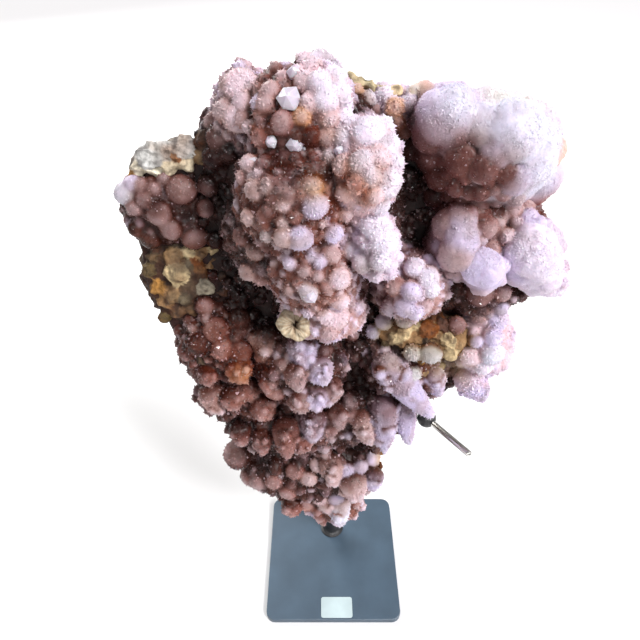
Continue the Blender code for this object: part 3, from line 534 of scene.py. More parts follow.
def massSurface(number, cell):
    # a ball's grid scaled to the mass's half sizes
    sizes = massSizes[number]
    around = max(int(2.0 * math.pi * sizes[:2].max() / cell), 12)
    rings = max(int(math.pi * sizes.max() / cell), 8)
    high, turn = ballAngles(rings, around)
    ball = np.stack([np.sin(high) * np.cos(turn), np.sin(high) * np.sin(turn), np.cos(high)], axis=1)
    ball = np.concatenate([[[0.0, 0.0, 1.0]], ball, [[0.0, 0.0, -1.0]]])
    points = massMiddles[number] + (ball * sizes) @ massAxes[number]
    triangles = facingOut(points - massMiddles[number], triangleGrid(rings, around))
    return points, triangles, unit((ball / sizes) @ massAxes[number])


def growthSurfaces(roots, tips, radii, pointed, rings, sides):
    # half a ball behind the root and, before it, a ball's profile drawn out to the tip,
    # or a cone-like one that bows out, by how pointed the growth is
    count = len(roots)
    axis = tips - roots
    length = np.linalg.norm(axis, axis=1)
    axis = axis / length[:, None]
    side = unit(np.cross(axis, np.array([0.31, 0.52, 0.79])))
    other = np.cross(axis, side)
    high = np.linspace(0.0, math.pi, rings + 2)[1:-1]
    turn = ringTurns(sides)
    tall = -np.cos(high)
    ball = np.sin(high)
    sharp = np.where(tall > 0.0, 1.0 - np.abs(tall) ** lumps["bow"], ball)
    wide = radii[:, None] * blend(ball, sharp, pointed[:, None])
    along = np.where(tall > 0.0, length[:, None] * tall, radii[:, None] * tall)
    hexed = 1.0 + lumps["sixSided"] * pointed[:, None] * np.cos(6.0 * turn)
    swing = wide[:, :, None] * hexed[:, None, :]
    body = roots[:, None, None] + axis[:, None, None] * along[:, :, None, None]
    body = swung(body, side[:, None, None], other[:, None, None], swing, turn).reshape(count, -1, 3)
    back = (roots - axis * radii[:, None])[:, None]
    points = np.concatenate([back, body, tips[:, None]], axis=1)
    triangles = facingOut(points[0] - points[0].mean(axis=0), triangleGrid(rings, sides))
    many = points.shape[1]
    triangles = (triangles[None] + many * np.arange(count)[:, None, None]).reshape(-1, 3)
    return points.reshape(-1, 3), triangles


def bumped(points, ways, coarse, fine, waver):
    # the point moved along its way by two sizes of round bump and a slow waver, middle value taken off
    raised = coarse[1] * (nodules(points, coarse[0]) - 0.55)
    raised = raised + fine[1] * (nodules(points + 31.0, fine[0]) - 0.55)
    raised = raised + waver[1] * cloud(points, waver[0])
    return points + ways * raised[:, None]


def ridges(points, size, shift=0.0):
    # one minus the absolute noise: sharp crests with hollows between them
    return 1.0 - np.abs(cloud(points, size, shift)) * 2.0


def broken(points, ways, scale):
    # ridges of three sizes, and low steps like the edges of flakes
    raised = 1.5 * ridges(points, 12.0 * scale, 3.0) + 0.8 * ridges(points, 4.6 * scale, 7.0)
    raised = raised + 0.3 * ridges(points, 2.1, 2.0)
    flakes = points @ np.array([0.35, 0.5, 0.8]) + 5.0 * cloud(points, 12.0, 1.0)
    raised = raised + 0.6 * (np.abs(flakes / 7.0 % 1.0 - 0.5) * 2.0) ** 3
    return points + ways * (raised - 1.9)[:, None] * scale


# Every growth's root, tip, radius, how pointed it is, mass, tint and kind, one row each
growths = {}


def addGrowths(**more):
    for key, values in more.items():
        values = np.asarray(values)
        growths[key] = np.concatenate([growths[key], values]) if key in growths else values


def addKnobs(picks, kind, lift, long):
    # knobs grow out of their mass and a little to the front, the large ones less far for their size
    spots, lines = seats(picks)
    radii = listed(picks, 2)
    low, high = rock["bigFrom"]
    big = np.clip((radii - low) / (high - low), 0.0, 1.0)
    long = blend(long, min(long, rock["bigLength"]), big)
    roots = spots - lines * (lift * radii)[:, None]
    numbers, away = nearestMass(roots)
    away = unit(away + outWay * rock["turnToFront"])
    addGrowths(
        roots=roots, tips=roots + away * (radii * long)[:, None], radii=radii,
        pointed=np.full(len(picks), rock["knobPointed"]), mass=numbers,
        light=lights(picks, 3), kind=[kind] * len(picks))


def addFingers(picks):
    # the tip is where its own line of sight meets the plane that it stands out to
    roots, lines = seats(picks)
    radii = listed(picks, 4)
    roots = roots - lines * (rock["fingerLift"] * radii)[:, None]
    planes = faceMiddle + outWay * (faceParts(roots)[:, 2] + listed(picks, 5))[:, None]
    tipLines = sightLines(picks, 2)
    reach = ((planes - eye) @ outWay) / (tipLines @ outWay)
    addGrowths(
        roots=roots, tips=eye + tipLines * reach[:, None], radii=radii,
        pointed=np.full(len(picks), rock["fingerPointed"]), mass=nearestMass(roots)[0],
        light=lights(picks, 6), kind=["finger"] * len(picks))


def addBuds():
    # small knobs round each thick finger, out to its side and forward, the nearer its tip the closer in
    thick = np.flatnonzero((growths["kind"] == "finger") & (growths["radii"] >= rock["budFrom"]))
    thick = np.repeat(thick, rock["buds"])
    count = len(thick)
    root, radii = growths["roots"][thick], growths["radii"][thick]
    axis = growths["tips"][thick] - root
    side = unit(np.cross(axis, unit(chance.normal(size=(count, 3)))))
    along = chance.uniform(*rock["budAlong"], count)
    budRadii = radii * chance.uniform(*rock["budRadius"], count)
    wide = radii * (1.0 - np.clip(along, 0.0, 1.0) ** lumps["bow"]) - rock["budSunk"] * budRadii
    places = root + axis * along[:, None] + side * wide[:, None]
    ways = unit(side + rock["budForward"] * unit(axis))
    addGrowths(
        roots=places, tips=places + ways * (budRadii * rock["budLength"])[:, None], radii=budRadii,
        pointed=np.full(count, rock["budPointed"]), mass=growths["mass"][thick],
        light=growths["light"][thick] * chance.uniform(*rock["budShade"], (count, 1)),
        kind=["bud"] * count)


addKnobs(knobPicks, "knob", rock["knobLift"], rock["knobLength"])
addKnobs(smallPicks, "knob", 0.0, rock["smallLength"])
addFingers(fingerPicks)
addBuds()
addKnobs(chunkPicks, "chunk", 0.0, rock["chunkLength"])


def insideGrowths(points, skip, share):
    # true where a point lies inside some other growth, taken as two half ellipsoids on its axis
    axis = growths["tips"] - growths["roots"]
    length = np.linalg.norm(axis, axis=1)
    axis = axis / length[:, None]
    radii = growths["radii"]
    found = np.zeros(len(points), bool)
    middle = points.mean(axis=0)
    spread = np.linalg.norm(points - middle, axis=1).max()
    near = np.linalg.norm(growths["roots"] - middle, axis=1) < spread + length + radii
    for number in np.flatnonzero(near):
        reachOut = max(length[number], radii[number])
        close = np.flatnonzero(np.abs(points[:, 0] - growths["roots"][number, 0]) < reachOut)
        offset = points[close] - growths["roots"][number]
        tall = offset @ axis[number]
        flat = (offset ** 2).sum(axis=1) - tall ** 2
        end = np.where(tall > 0.0, length[number], radii[number])
        depth = flat / radii[number] ** 2 + (tall / end) ** 2
        found[close] |= (depth < share) & (skip[close] != number)
    return found


def insideMasses(points, skip, share, numbers=range(len(massNames))):
    # true where a point lies inside one of the masses, other than the one it skips
    found = np.zeros(len(points), bool)
    for number in numbers:
        scaled = (points - massMiddles[number]) @ massAxes[number].T / massSizes[number]
        found |= ((scaled ** 2).sum(axis=1) < share) & (skip != number)
    return found


def nobody(points):
    return np.full(len(points), -1)


patchSpots, patchLines = seats(stainsAndShade)
patchSpots = patchSpots - patchLines * 3.0

# Smaller knobs that fill the ground between those picked, larger and longer where they hang.
# The smooth bright masses have few. Lengths and what is sunk are shares of the radius.
fillers = {
    "spacing": 4.7,
    "radius": (1.0, 4.2),
    "mostlySmall": 2.2,
    "length": (0.6, 1.3),
    "pointed": (0.1, 0.6),
    "sunk": 0.15,
    "facing": -0.35,
    "toFront": 0.25,
    "scatter": 0.15,
    "paler": 0.4,
    "brightShare": 0.5,
    "brightPaler": 0.9,
    "hangSpacing": 5.4,
    "hangRadius": (1.6, 5.0),
    "hangDown": 0.8,
    "hangLonger": 1.35,
    "hanging": ("tierHigh", "tierMid", "tierMidRight", "tierLow", "tierTip", "leftShelf", "leftShelfLow",
                "fingerBase", "lobesUnder"),
    "smoothShare": 0.25,
    "smooth": ("dome", "domeCorner", "lobeRight", "lobeTip", "lobeLeft", "lobeMid"),
    "caveFrom": 0.85,
    "caveShare": 0.8,
    "shieldSpacing": 7.0,
    "shieldRadius": (2.2, 5.2),
    "shieldMostlySmall": 1.4,
    "shieldLength": (1.0, 1.4),
    "shieldPointed": (0.1, 0.45),
    "shieldScatter": 0.35,
    "shieldPaler": 0.5,
}


def oneInEachCell(places, spacing):
    _, kept = np.unique(np.floor(places / spacing).astype(int), axis=0, return_index=True)
    return kept


def fillMasses():
    # random places on each ball's skin, even by area, thinned to one in each cell of the spacing
    for number, name in enumerate(massNames):
        if groundOf(name) != "druse":
            continue
        hangs = name in fillers["hanging"]
        spacing = fillers["hangSpacing" if hangs else "spacing"]
        low, high = fillers["hangRadius" if hangs else "radius"]
        sizes = massSizes[number]
        area = 4.0 * math.pi * (sizes[0] * sizes[1] * sizes[2]) ** (2.0 / 3.0)
        ball = unit(chance.normal(size=(int(area / spacing ** 2 * 2.0), 3)))
        places = massMiddles[number] + (ball * sizes) @ massAxes[number]
        ways = unit((ball / sizes) @ massAxes[number])
        keep = ways @ outWay > fillers["facing"]
        keep &= ~insideMasses(places, np.full(len(places), number), 0.95)
        keep &= ~insideGrowths(places, nobody(places), 1.0)
        # no fillers in the caves, under the strongest patches of painted shade
        for spot, tintPatch in zip(patchSpots, stainsAndShade):
            if tintPatch[3] == "dark" and tintPatch[4] > fillers["caveFrom"]:
                keep &= ((places - spot) ** 2).sum(axis=1) > (tintPatch[2] * fillers["caveShare"]) ** 2
        if name in fillers["smooth"]:
            keep &= chance.random(len(places)) < fillers["smoothShare"]
        places, ways = places[keep], ways[keep]
        kept = oneInEachCell(places, spacing)
        places, ways = places[kept], ways[kept]
        count = len(kept)
        radii = blend(low, high, chance.random(count) ** fillers["mostlySmall"])
        ways = ways + fillers["toFront"] * outWay - fillers["hangDown"] * hangs * upWay
        ways = unit(ways + fillers["scatter"] * chance.normal(size=(count, 3)))
        ground = tintLight[masses[name][7]]
        bright = chance.random((count, 1)) < fillers["brightShare"] * (0.3 + 3.0 * ground.mean())
        paler = np.where(bright, fillers["brightPaler"], fillers["paler"] * chance.random((count, 1)))
        pale = blend(tintLight["blush"], tintLight["lilac"], chance.random((count, 1)))
        long = chance.uniform(*fillers["length"], count) * (fillers["hangLonger"] if hangs else 1.0)
        addGrowths(
            roots=places - ways * (radii * fillers["sunk"])[:, None],
            tips=places + ways * (radii * long)[:, None],
            radii=radii, pointed=chance.uniform(*fillers["pointed"], count),
            mass=np.full(count, number), light=blend(ground, pale, paler), kind=["filler"] * count)


# The shield of matrix: its outline is a function of the angle, from points round the rock
shieldPlan = {
    "middle": (-6.0, -6.0),
    "back": 33.0,
    "backLow": 7.0,
    "thinBelow": -110.0,
    "thinRun": 80.0,
    "fullness": 0.55,
    "flatness": 0.7,
    "sides": 300,
    "rings": 110,
    "roughness": ((31.0, 0.0, 2.6), (13.0, 5.0, 1.5), (5.5, 9.0, 0.7)),
    "lowered": 2.6,
    "outline": (
        (-128, 70), (-118, 86), (-96, 95), (-76, 103), (-64, 121), (-46, 129), (-22, 135), (-4, 134),
        (16, 125), (34, 121), (52, 122), (78, 118), (104, 114), (120, 102), (125, 84), (120, 58),
        (118, 32), (111, 2), (109, -30), (103, -60), (84, -70), (64, -90), (44, -110), (33, -148),
        (19, -178), (3, -196), (-18, -188), (-40, -190), (-62, -174), (-70, -150), (-78, -120),
        (-84, -92), (-94, -68), (-106, -44), (-113, -14), (-121, 16), (-126, 36),
    ),
}


def shieldEdge(turn):
    # how far the outline lies from the shield's middle at each angle
    outline = np.array(shieldPlan["outline"], float) - shieldPlan["middle"]
    angles = np.arctan2(outline[:, 1], outline[:, 0])
    order = np.argsort(angles)
    return np.interp(turn, angles[order], np.hypot(*outline[order].T), period=2.0 * math.pi)


def fillShield():
    # random places on the face's plane inside the outline, thinned to one in each cell
    across, up = chance.uniform((-120.0, -190.0), (120.0, 130.0), (5000, 2)).T
    turn = np.arctan2(up - shieldPlan["middle"][1], across - shieldPlan["middle"][0])
    far = np.hypot(up - shieldPlan["middle"][1], across - shieldPlan["middle"][0]) / shieldEdge(turn)
    places = onFace(across, up, rock["front"] * (1.0 - np.clip(far, 0.0, 1.0) ** 6))
    keep = (far < 0.96) & ~insideMasses(places, nobody(places), 1.0)
    keep &= ~insideGrowths(places, nobody(places), 1.0)
    places = places[keep]
    places = places[oneInEachCell(places, fillers["shieldSpacing"])]
    count = len(places)
    radii = blend(*fillers["shieldRadius"], chance.random(count) ** fillers["shieldMostlySmall"])
    ways = unit(outWay + fillers["shieldScatter"] * chance.normal(size=(count, 3)))
    paler = fillers["shieldPaler"] * chance.random((count, 1)) ** 2
    long = chance.uniform(*fillers["shieldLength"], count)
    addGrowths(
        roots=places, tips=places + ways * (radii * long)[:, None], radii=radii,
        pointed=chance.uniform(*fillers["shieldPointed"], count),
        mass=np.full(count, massNames.index("crownRoot")),
        light=blend(tintLight["umber"], tintLight["mauve"], paler), kind=["filler"] * count)


fillMasses()
fillShield()
print("growths placed:", len(growths["radii"]))


def shieldSurface(plan):
    # a ball whose middle circle is drawn out to the outline: height goes to the front or the back depth
    high, turn = ballAngles(plan["rings"], plan["sides"])
    high = np.concatenate([[0.0], high, [math.pi]])
    turn = np.concatenate([[0.0], turn, [0.0]])
    far = shieldEdge(turn) * np.sin(high) ** plan["fullness"]
    across = plan["middle"][0] + far * np.cos(turn)
    up = plan["middle"][1] + far * np.sin(turn)
    back = blend(plan["backLow"], plan["back"], smooth((up - plan["thinBelow"]) / plan["thinRun"]))
    rise = np.sign(np.cos(high)) * np.abs(np.cos(high)) ** plan["flatness"]
    points = onFace(across, up, rise * np.where(rise > 0.0, rock["front"], back))
    triangles = facingOut(points - points.mean(axis=0), triangleGrid(plan["rings"], plan["sides"]))
    ways = pointWays(points, triangles)
    rough = sum(height * ridges(points, size, shift) for size, shift, height in plan["roughness"])
    return points + ways * (rough - plan["lowered"])[:, None], triangles


# All lumps, each with the number of its own mass or growth, and druse, bare or back as its ground
surfaces = []
for number, name in enumerate(massNames):
    ground = groundOf(name)
    cell = lumps["backCell" if ground == "back" else "massCell"]
    points, triangles, ways = massSurface(number, cell)
    if ground == "druse":
        points = bumped(points, ways, *lumps["massBumps"])
    else:
        points = broken(points, ways, lumps["backScale"] if ground == "back" else 1.0)
    surfaces.append({
        "mass": number, "growth": -1, "points": points, "triangles": triangles, "ground": ground})

for kind, grid in lumps["grids"].items():
    chosen = np.flatnonzero(growths["kind"] == kind)
    points, triangles = growthSurfaces(
        growths["roots"][chosen], growths["tips"][chosen], growths["radii"][chosen],
        growths["pointed"][chosen], *grid)
    ways = pointWays(points, triangles)
    if kind == "chunk":
        points = broken(points, ways, lumps["chunkScale"])
    else:
        points = bumped(points, ways, *lumps["growthBumps"])
    many = 2 + grid[0] * grid[1]
    faces = len(triangles) // len(chosen)
    for place, growth in enumerate(chosen):
        surfaces.append({
            "mass": growths["mass"][growth], "growth": growth,
            "points": points[place * many:(place + 1) * many],
            "triangles": triangles[place * faces:(place + 1) * faces] - place * many,
            "ground": "bare" if kind == "chunk" else "druse"})

shieldPoints, shieldTriangles = shieldSurface(shieldPlan)
print("lumps made:", len(surfaces))

# How far the rock stands out over the face, on a grid of cells, and how much sky each cell sees,
# from which the colours get their painted shade
relief = {
    "cell": 2.0,
    "low": (-170.0, -250.0),
    "count": (170, 210),
    "ways": 16,
    "steps": (1, 2, 3, 4, 6, 8, 11, 15, 20),
    "fade": 9.0,
}


def boxBlur(field, reach):
    # the mean over a square of cells, by rolled copies along each axis
    for axis in (0, 1):
        field = sum(np.roll(field, step, axis) for step in range(-reach, reach + 1)) / (2 * reach + 1)
    return field


def cornerShares(points):
    # the cell below each point, how far into it the point lies, and its height over the face
    parts = faceParts(points)
    cells = (parts[:, :2] - relief["low"]) / relief["cell"] - 0.5
    cells = np.clip(cells, 0.0, np.array(relief["count"]) - 1.01)
    whole = cells.astype(int)
    return whole, cells - whole, parts[:, 2]


def sampled(field, whole, part):
    # the four cells round the point, blended along both axes
    value = field[whole[:, 0], whole[:, 1]] * (1.0 - part[:, 0]) * (1.0 - part[:, 1])
    value = value + field[whole[:, 0] + 1, whole[:, 1]] * part[:, 0] * (1.0 - part[:, 1])
    value = value + field[whole[:, 0], whole[:, 1] + 1] * (1.0 - part[:, 0]) * part[:, 1]
    return value + field[whole[:, 0] + 1, whole[:, 1] + 1] * part[:, 0] * part[:, 1]


def skyShare(height):
    # one less the sine of the steepest rise seen from each cell, the mean of so many ways round
    total = np.zeros_like(height)
    for turn in ringTurns(relief["ways"]):
        steepest = np.zeros_like(height)
        for step in relief["steps"]:
            move = (round(step * math.cos(turn)), round(step * math.sin(turn)))
            rise = np.roll(height, (-move[0], -move[1]), (0, 1)) - height
            steepest = np.maximum(steepest, rise / (math.hypot(*move) * relief["cell"]))
        total += 1.0 - steepest / np.sqrt(1.0 + steepest ** 2)
    return total / relief["ways"]


reliefHeight = np.full(relief["count"], -30.0)
for points in [surface["points"] for surface in surfaces] + [shieldPoints]:
    whole, _, out = cornerShares(points)
    np.maximum.at(reliefHeight, (whole[:, 0], whole[:, 1]), out)
reliefHeight = np.maximum(reliefHeight, boxBlur(reliefHeight, 1))
reliefSky = boxBlur(skyShare(reliefHeight), 1)


def openness(points):
    # the cell's share of the sky, less the further the point lies below the cell's height
    whole, part, out = cornerShares(points)
    below = np.clip(sampled(reliefHeight, whole, part) - out - 1.5, 0.0, None)
    return sampled(reliefSky, whole, part) * np.exp(-below / relief["fade"])


def behind(points, ways):
    # how far a point lies round the back and faces away, where the height over the face says nothing
    return smooth(-2.0 * ways @ outWay) * smooth((-faceParts(points)[:, 2] - 3.0) / 8.0)


massLight = np.array([tintLight[masses[name][7]] for name in massNames])
massDim = np.array([dimming.get(name, 1.0) for name in massNames])

# Noise is given as size, shift and strength. What is open or a crease goes from none to all. The
# open, light, crease, crest and deep numbers set the painted shade and the painted highlight on crests.
shades = {
    "warmPatches": ((21.0, 2.0, 0.9), (7.0, 4.0, 0.6)),
    "warmBelow": 1.1,
    "warmBy": 0.35,
    "rootToTip": (0.0, 0.7),
    "fingerSooner": 0.8,
    "mottles": (5.5, 12.0, 1.3),
    "mottled": 0.6,
    "tipFrom": 0.6,
    "tipPaler": 0.4,
    "patchMottles": (6.0, 8.0, 0.7),
    "patchFall": 1.3,
    "patchReach": 1.8,
    "patchPlain": 0.75,
    "open": (0.12, 0.66),
    "backLight": 0.7,
    "pickedLight": 0.55,
    "pickedDim": 0.45,
    "brightAt": 0.75,
    "brightLight": 0.72,
    "richBelow": 0.38,
    "deepenFrom": 0.32,
    "deepen": 0.25,
    "deepenDim": 0.2,
    "warmer": (0.0, 0.04, 0.24),
    "crease": (-0.05, 0.75),
    "creaseDark": (0.85, 0.4),
    "crest": 0.8,
    "crestPaler": 0.35,
    "deep": (0.17, 0.07, 0.058),
    "deepPale": (0.56, 0.45, 0.51),
}
# The bare rock's colours; lighter, backLight and deep set its painted shade where less sky is seen
rockShades = {
    "patches": (
        ("ivory", 14.0, 1.0, 0.2), ("beige", 9.0, 5.0, 0.35), ("slate", 8.0, 9.0, 0.35),
        ("amber", 10.0, 13.0, 0.3)),
    "warm": (0.0, 0.12, 0.32),
    "rimWarm": 0.1,
    "cracks": ((5.0, 7.0, 0.18, 0.5, 1.2), (11.0, 3.0, -0.1, 0.6, 1.0)),
    "crackDark": 0.85,
    "lighter": 0.15,
    "backLight": 0.55,
    "deep": 0.2,
}


def hollows(points, triangles, rounds):
    # how far the evened skin lies above each point: more than nothing in a crease, less on a crest
    evenedPoints = evened(points, triangles, rounds)
    return ((evenedPoints - points) * pointWays(points, triangles)).sum(axis=1)


def level(color):
    return color.mean(axis=1, keepdims=True)


def along(points, growth):
    # how far each point lies from its growth's root, nothing, to its tip, one
    root, tip = growths["roots"][growth], growths["tips"][growth]
    return ((points - root) * (tip - root)).sum(axis=1) / ((tip - root) ** 2).sum(axis=1)


def ownShare(points, growth):
    # how much of a growth's own tint a point has: fingers take it from their root on
    low, high = shades["rootToTip"]
    low = low - shades["fingerSooner"] * (growths["kind"][growth] == "finger")
    return smooth((along(points, growth) - low) / (high - low))[:, None]


def plainColor(points, mass, growth):
    # the mass's tint drawn to brown by slow noise, and the growth's own, mottled and paler at its tip
    color = massLight[mass]
    warm = sum(strength * cloud(points, size, shift) for size, shift, strength in shades["warmPatches"])
    warm = np.clip(warm, 0.0, 1.0)[:, None] * (shades["warmBelow"] - level(color))
    color = blend(color, tintLight["clay"], warm * shades["warmBy"])
    grown = growth >= 0
    points, growth = points[grown], growth[grown]
    size, shift, strength = shades["mottles"]
    mottles = np.clip(cloud(points, size, shift) * strength, 0.0, shades["mottled"])[:, None]
    own = growths["light"][growth]
    own = blend(own, tintLight["salmon"], mottles * shades["mottled"])
    color[grown] = blend(color[grown], own, ownShare(points, growth))
    tip = smooth((along(points, growth) - shades["tipFrom"]) / (1.0 - shades["tipFrom"]))[:, None]
    color[grown] = blend(color[grown], tintLight["white"], shades["tipPaler"] * tip * level(own))
    return color


def stainedAndShaded(points, color):
    # each patch fades by a bell curve of the distance, broken up by noise, and is laid on partly
    # as paint and partly as a wash that multiplies. Some patches are iron staining, others painted shade.
    size, shift, strength = shades["patchMottles"]
    for spot, tintPatch in zip(patchSpots, stainsAndShade):
        close = np.flatnonzero(np.abs(points[:, 0] - spot[0]) < tintPatch[2] * shades["patchReach"])
        near = np.exp(-((points[close] - spot) ** 2).sum(axis=1) / tintPatch[2] ** 2 * shades["patchFall"])
        near = near * (1.0 + strength * cloud(points[close], size, shift))
        near = (np.clip(near, 0.0, 1.0) * tintPatch[4])[:, None]
        under, over = color[close], tintLight[tintPatch[3]]
        wash = under * (over / under) ** near
        color[close] = blend(wash, blend(under, over, near), shades["patchPlain"])
    return color


def colored(points, ways, mass, growth, hollow=None):
    # the tint with its patches, then painted shade, darker and warmer where less sky is seen and in
    # creases, and painted highlight, paler on crests. The listed knobs and fingers and their buds, and
    # bright tints, keep more of the painted light; dark tints are made richer.
    color = stainedAndShaded(points, plainColor(points, mass, growth))
    low, high = shades["open"]
    light = smooth((openness(points) - low) / (high - low))
    light = np.maximum(light, shades["backLight"] * behind(points, ways))
    grown = growth >= 0
    picked = np.isin(growths["kind"][growth[grown]], ("knob", "finger", "bud"))
    picked = ownShare(points[grown], growth[grown])[:, 0] * picked
    light[grown] = blend(light[grown], 1.0, shades["pickedLight"] * picked)
    dim = massDim[mass]
    dim[grown] = blend(dim[grown], 1.0, shades["pickedDim"] * picked)
    color = color * dim[:, None]
    bright = smooth(level(color) / shades["brightAt"])
    light = blend(light[:, None], 1.0, shades["brightLight"] * bright)
    rich = 1.0 - smooth(level(color) / shades["richBelow"])
    color = color * (color / color.max(axis=1, keepdims=True)) ** rich
    deepen = shades["deepen"] + shades["deepenDim"] * (massDim[mass] < 1.0)[:, None]
    color = color * np.clip(level(color) / shades["deepenFrom"], 0.1, 1.0) ** deepen
    color = color * (1.0 - (1.0 - bright) * np.array(shades["warmer"]))
    if hollow is not None:
        # painted shade in the creases, and painted highlight on the crests
        low, high = shades["crease"]
        crease = smooth((hollow - low) / (high - low))[:, None]
        light = light * (1.0 - blend(*shades["creaseDark"], bright) * crease)
        crest = smooth(-hollow / shades["crest"])[:, None] * level(color)
        color = blend(color, tintLight["white"], crest * shades["crestPaler"])
    # painted shade: with less light the colour goes to a dark brown, on bright tints to a pale mauve
    deep = blend(np.array(shades["deep"]), np.array(shades["deepPale"]), bright)
    return blend((0.2 + 0.8 * color) * deep, color, light)


def rockColored(points, ways, mass, growth):
    # the rock's own tint with patches of other ones, warmer but at the rim, dark in its cracks, and
    # darker by painted shade where less sky is seen
    color = np.where((growth >= 0)[:, None], growths["light"][growth], massLight[mass])
    for tint, size, shift, most in rockShades["patches"]:
        patch = np.clip(cloud(points, size, shift) * 2.2 - 0.35, 0.0, 1.0)[:, None] * most
        color = blend(color, tintLight[tint], patch)
    warm = np.where(mass == massNames.index("leftRim"), rockShades["rimWarm"], 1.0)[:, None]
    color = color * massDim[mass][:, None] * (1.0 - warm * np.array(rockShades["warm"]))
    crack = np.zeros(len(points))
    for size, shift, below, most, strength in rockShades["cracks"]:
        crack = np.maximum(crack, np.clip(below - ridges(points, size, shift), 0.0, most) * strength)
    color = blend(color, tintLight["dark"], np.clip(crack, 0.0, rockShades["crackDark"])[:, None])
    low, high = shades["open"]
    light = smooth((openness(points) - low) / (high - low) + rockShades["lighter"])
    light = np.maximum(light, rockShades["backLight"] * behind(points, ways))[:, None]
    return blend(color * color * rockShades["deep"], color, light)


def plainMesh(name, points, triangles):
    mesh = bpy.data.meshes.new(name)
    mesh.vertices.add(len(points))
    mesh.vertices.foreach_set("co", (points * mm).astype(np.float32).ravel())
    mesh.loops.add(triangles.size)
    mesh.loops.foreach_set("vertex_index", triangles.astype(np.int32).ravel())
    mesh.polygons.add(len(triangles))
    mesh.polygons.foreach_set("loop_start", np.arange(len(triangles), dtype=np.int32) * 3)
    mesh.update(calc_edges=True)
    return mesh


def keepOnPoints(mesh, name, kind, field, values):
    kept = mesh.attributes.new(name, kind, "POINT")
    kept.data.foreach_set(field, values.astype(np.float32).ravel())


def makePiece(name, points, triangles, color, finish, smoothed):
    mesh = plainMesh(name, points, triangles)
    mesh.polygons.foreach_set("use_smooth", np.full(len(triangles), smoothed))
    color = np.column_stack([np.clip(color, 0.0, 1.0), np.ones(len(color))])
    keepOnPoints(mesh, "tint", "FLOAT_COLOR", "color", color)
    mesh.materials.append(finish)
    piece = bpy.data.objects.new(name, mesh)
    bpy.context.scene.collection.objects.link(piece)
    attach(piece, "root")
    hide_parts("quartz_specimen")
    return mesh


def feed(tree, node, sockets):
    # links each socket for which another one is given, and sets the others to their value
    for name, value in sockets.items():
        if isinstance(value, bpy.types.NodeSocket):
            tree.links.new(value, node.inputs[name])
        else:
            node.inputs[name].default_value = value


def addNode(tree, kind, output, sockets):
    node = tree.nodes.new("ShaderNode" + kind)
    feed(tree, node, sockets)
    return node.outputs[output]


def vectorNode(tree, operation, sockets):
    node = tree.nodes.new("ShaderNodeVectorMath")
    node.operation = operation
    feed(tree, node, sockets)
    return node.outputs["Vector"]


def meshValue(tree, name, output):
    node = tree.nodes.new("ShaderNodeAttribute")
    node.attribute_name = name
    return node.outputs[output]


def rampNode(tree, share, ends):
    # a ramp between two colours, each given with its place
    node = tree.nodes.new("ShaderNodeValToRGB")
    for element, (position, color) in zip(node.color_ramp.elements, ends):
        element.position = position
        element.color = (*color, 1.0)
    feed(tree, node, {"Fac": share})
    return node.outputs["Color"]


def noiseNode(tree, place, scale, detail):
    return addNode(tree, "TexNoise", "Fac", {"Vector": place, "Scale": scale, "Detail": detail})


def bumpNode(tree, height, strength, distance):
    return addNode(tree, "Bump", "Normal", {"Height": height, "Strength": strength, "Distance": distance})


def rangeNode(tree, value, low, high):
    return addNode(tree, "MapRange", "Result", {"Value": value, "To Min": low, "To Max": high})


def newMaterial(name):
    made = bpy.data.materials.new(name)
    made.use_nodes = True
    tree = made.node_tree
    return made, tree, tree.nodes["Principled BSDF"], addNode(tree, "TexCoord", "Object", {})


def tintNodes(tree, place, scale, low, high):
    # the mesh's tint, lighter and darker by fine noise
    value = addNode(tree, "MapRange", "Result", {
        "Value": noiseNode(tree, place, scale, 3.0),
        "From Min": 0.25, "From Max": 0.75, "To Min": low, "To Max": high})
    tint = meshValue(tree, "tint", "Color")
    return addNode(tree, "HueSaturation", "Color", {"Color": tint, "Value": value})


def facetNodes(tree, place, scale, tilt):
    # each cell of a Voronoi pattern leans its own way, like the face of a tiny crystal, and a
    # crystal's faces turn some way to the skin that it stands on
    cells = addNode(tree, "TexVoronoi", "Color", {"Vector": place, "Scale": scale})
    middle = vectorNode(tree, "SUBTRACT", {0: cells, 1: (0.5, 0.5, 0.5)})
    lean = vectorNode(tree, "SCALE", {0: middle, "Scale": tilt})
    leaning = vectorNode(tree, "ADD", {0: addNode(tree, "NewGeometry", "Normal", {}), 1: lean})
    turned = vectorNode(tree, "ADD", {0: leaning, 1: meshValue(tree, "way", "Vector")})
    return vectorNode(tree, "NORMALIZE", {0: turned}), cells


def crystalFinish(name, settings):
    # milky quartz: light sinks in and comes out again, and small faces glint
    made, tree, shader, place = newMaterial(name)
    normal, cells = facetNodes(tree, place, settings["facetScale"], settings["facetTilt"])
    if settings["glintByMesh"]:
        glint = meshValue(tree, "glint", "Fac")
    else:
        glint = addNode(tree, "SeparateColor", "Red", {"Color": cells})
    feed(tree, shader, {
        "Base Color": tintNodes(tree, place, settings["noiseScale"], *settings["value"]),
        "Normal": normal, "Roughness": rangeNode(tree, glint, *settings["rough"]), "IOR": 1.54,
        "Specular IOR Level": settings["specular"], "Subsurface Weight": settings["sink"],
        "Subsurface Radius": settings["sinkTint"], "Subsurface Scale": settings["sinkDepth"],
    })
    return made


def rockFinish(settings):
    # dull broken rock: fine grain in its tint and a rough skin
    made, tree, shader, place = newMaterial("bare matrix")
    grain = noiseNode(tree, place, settings["grainScale"], 5.0)
    feed(tree, shader, {
        "Base Color": tintNodes(tree, place, settings["noiseScale"], *settings["value"]),
        "Normal": bumpNode(tree, grain, *settings["bump"]),
        "Roughness": rangeNode(tree, grain, *settings["rough"]),
        "Specular IOR Level": settings["specular"],
    })
    return made


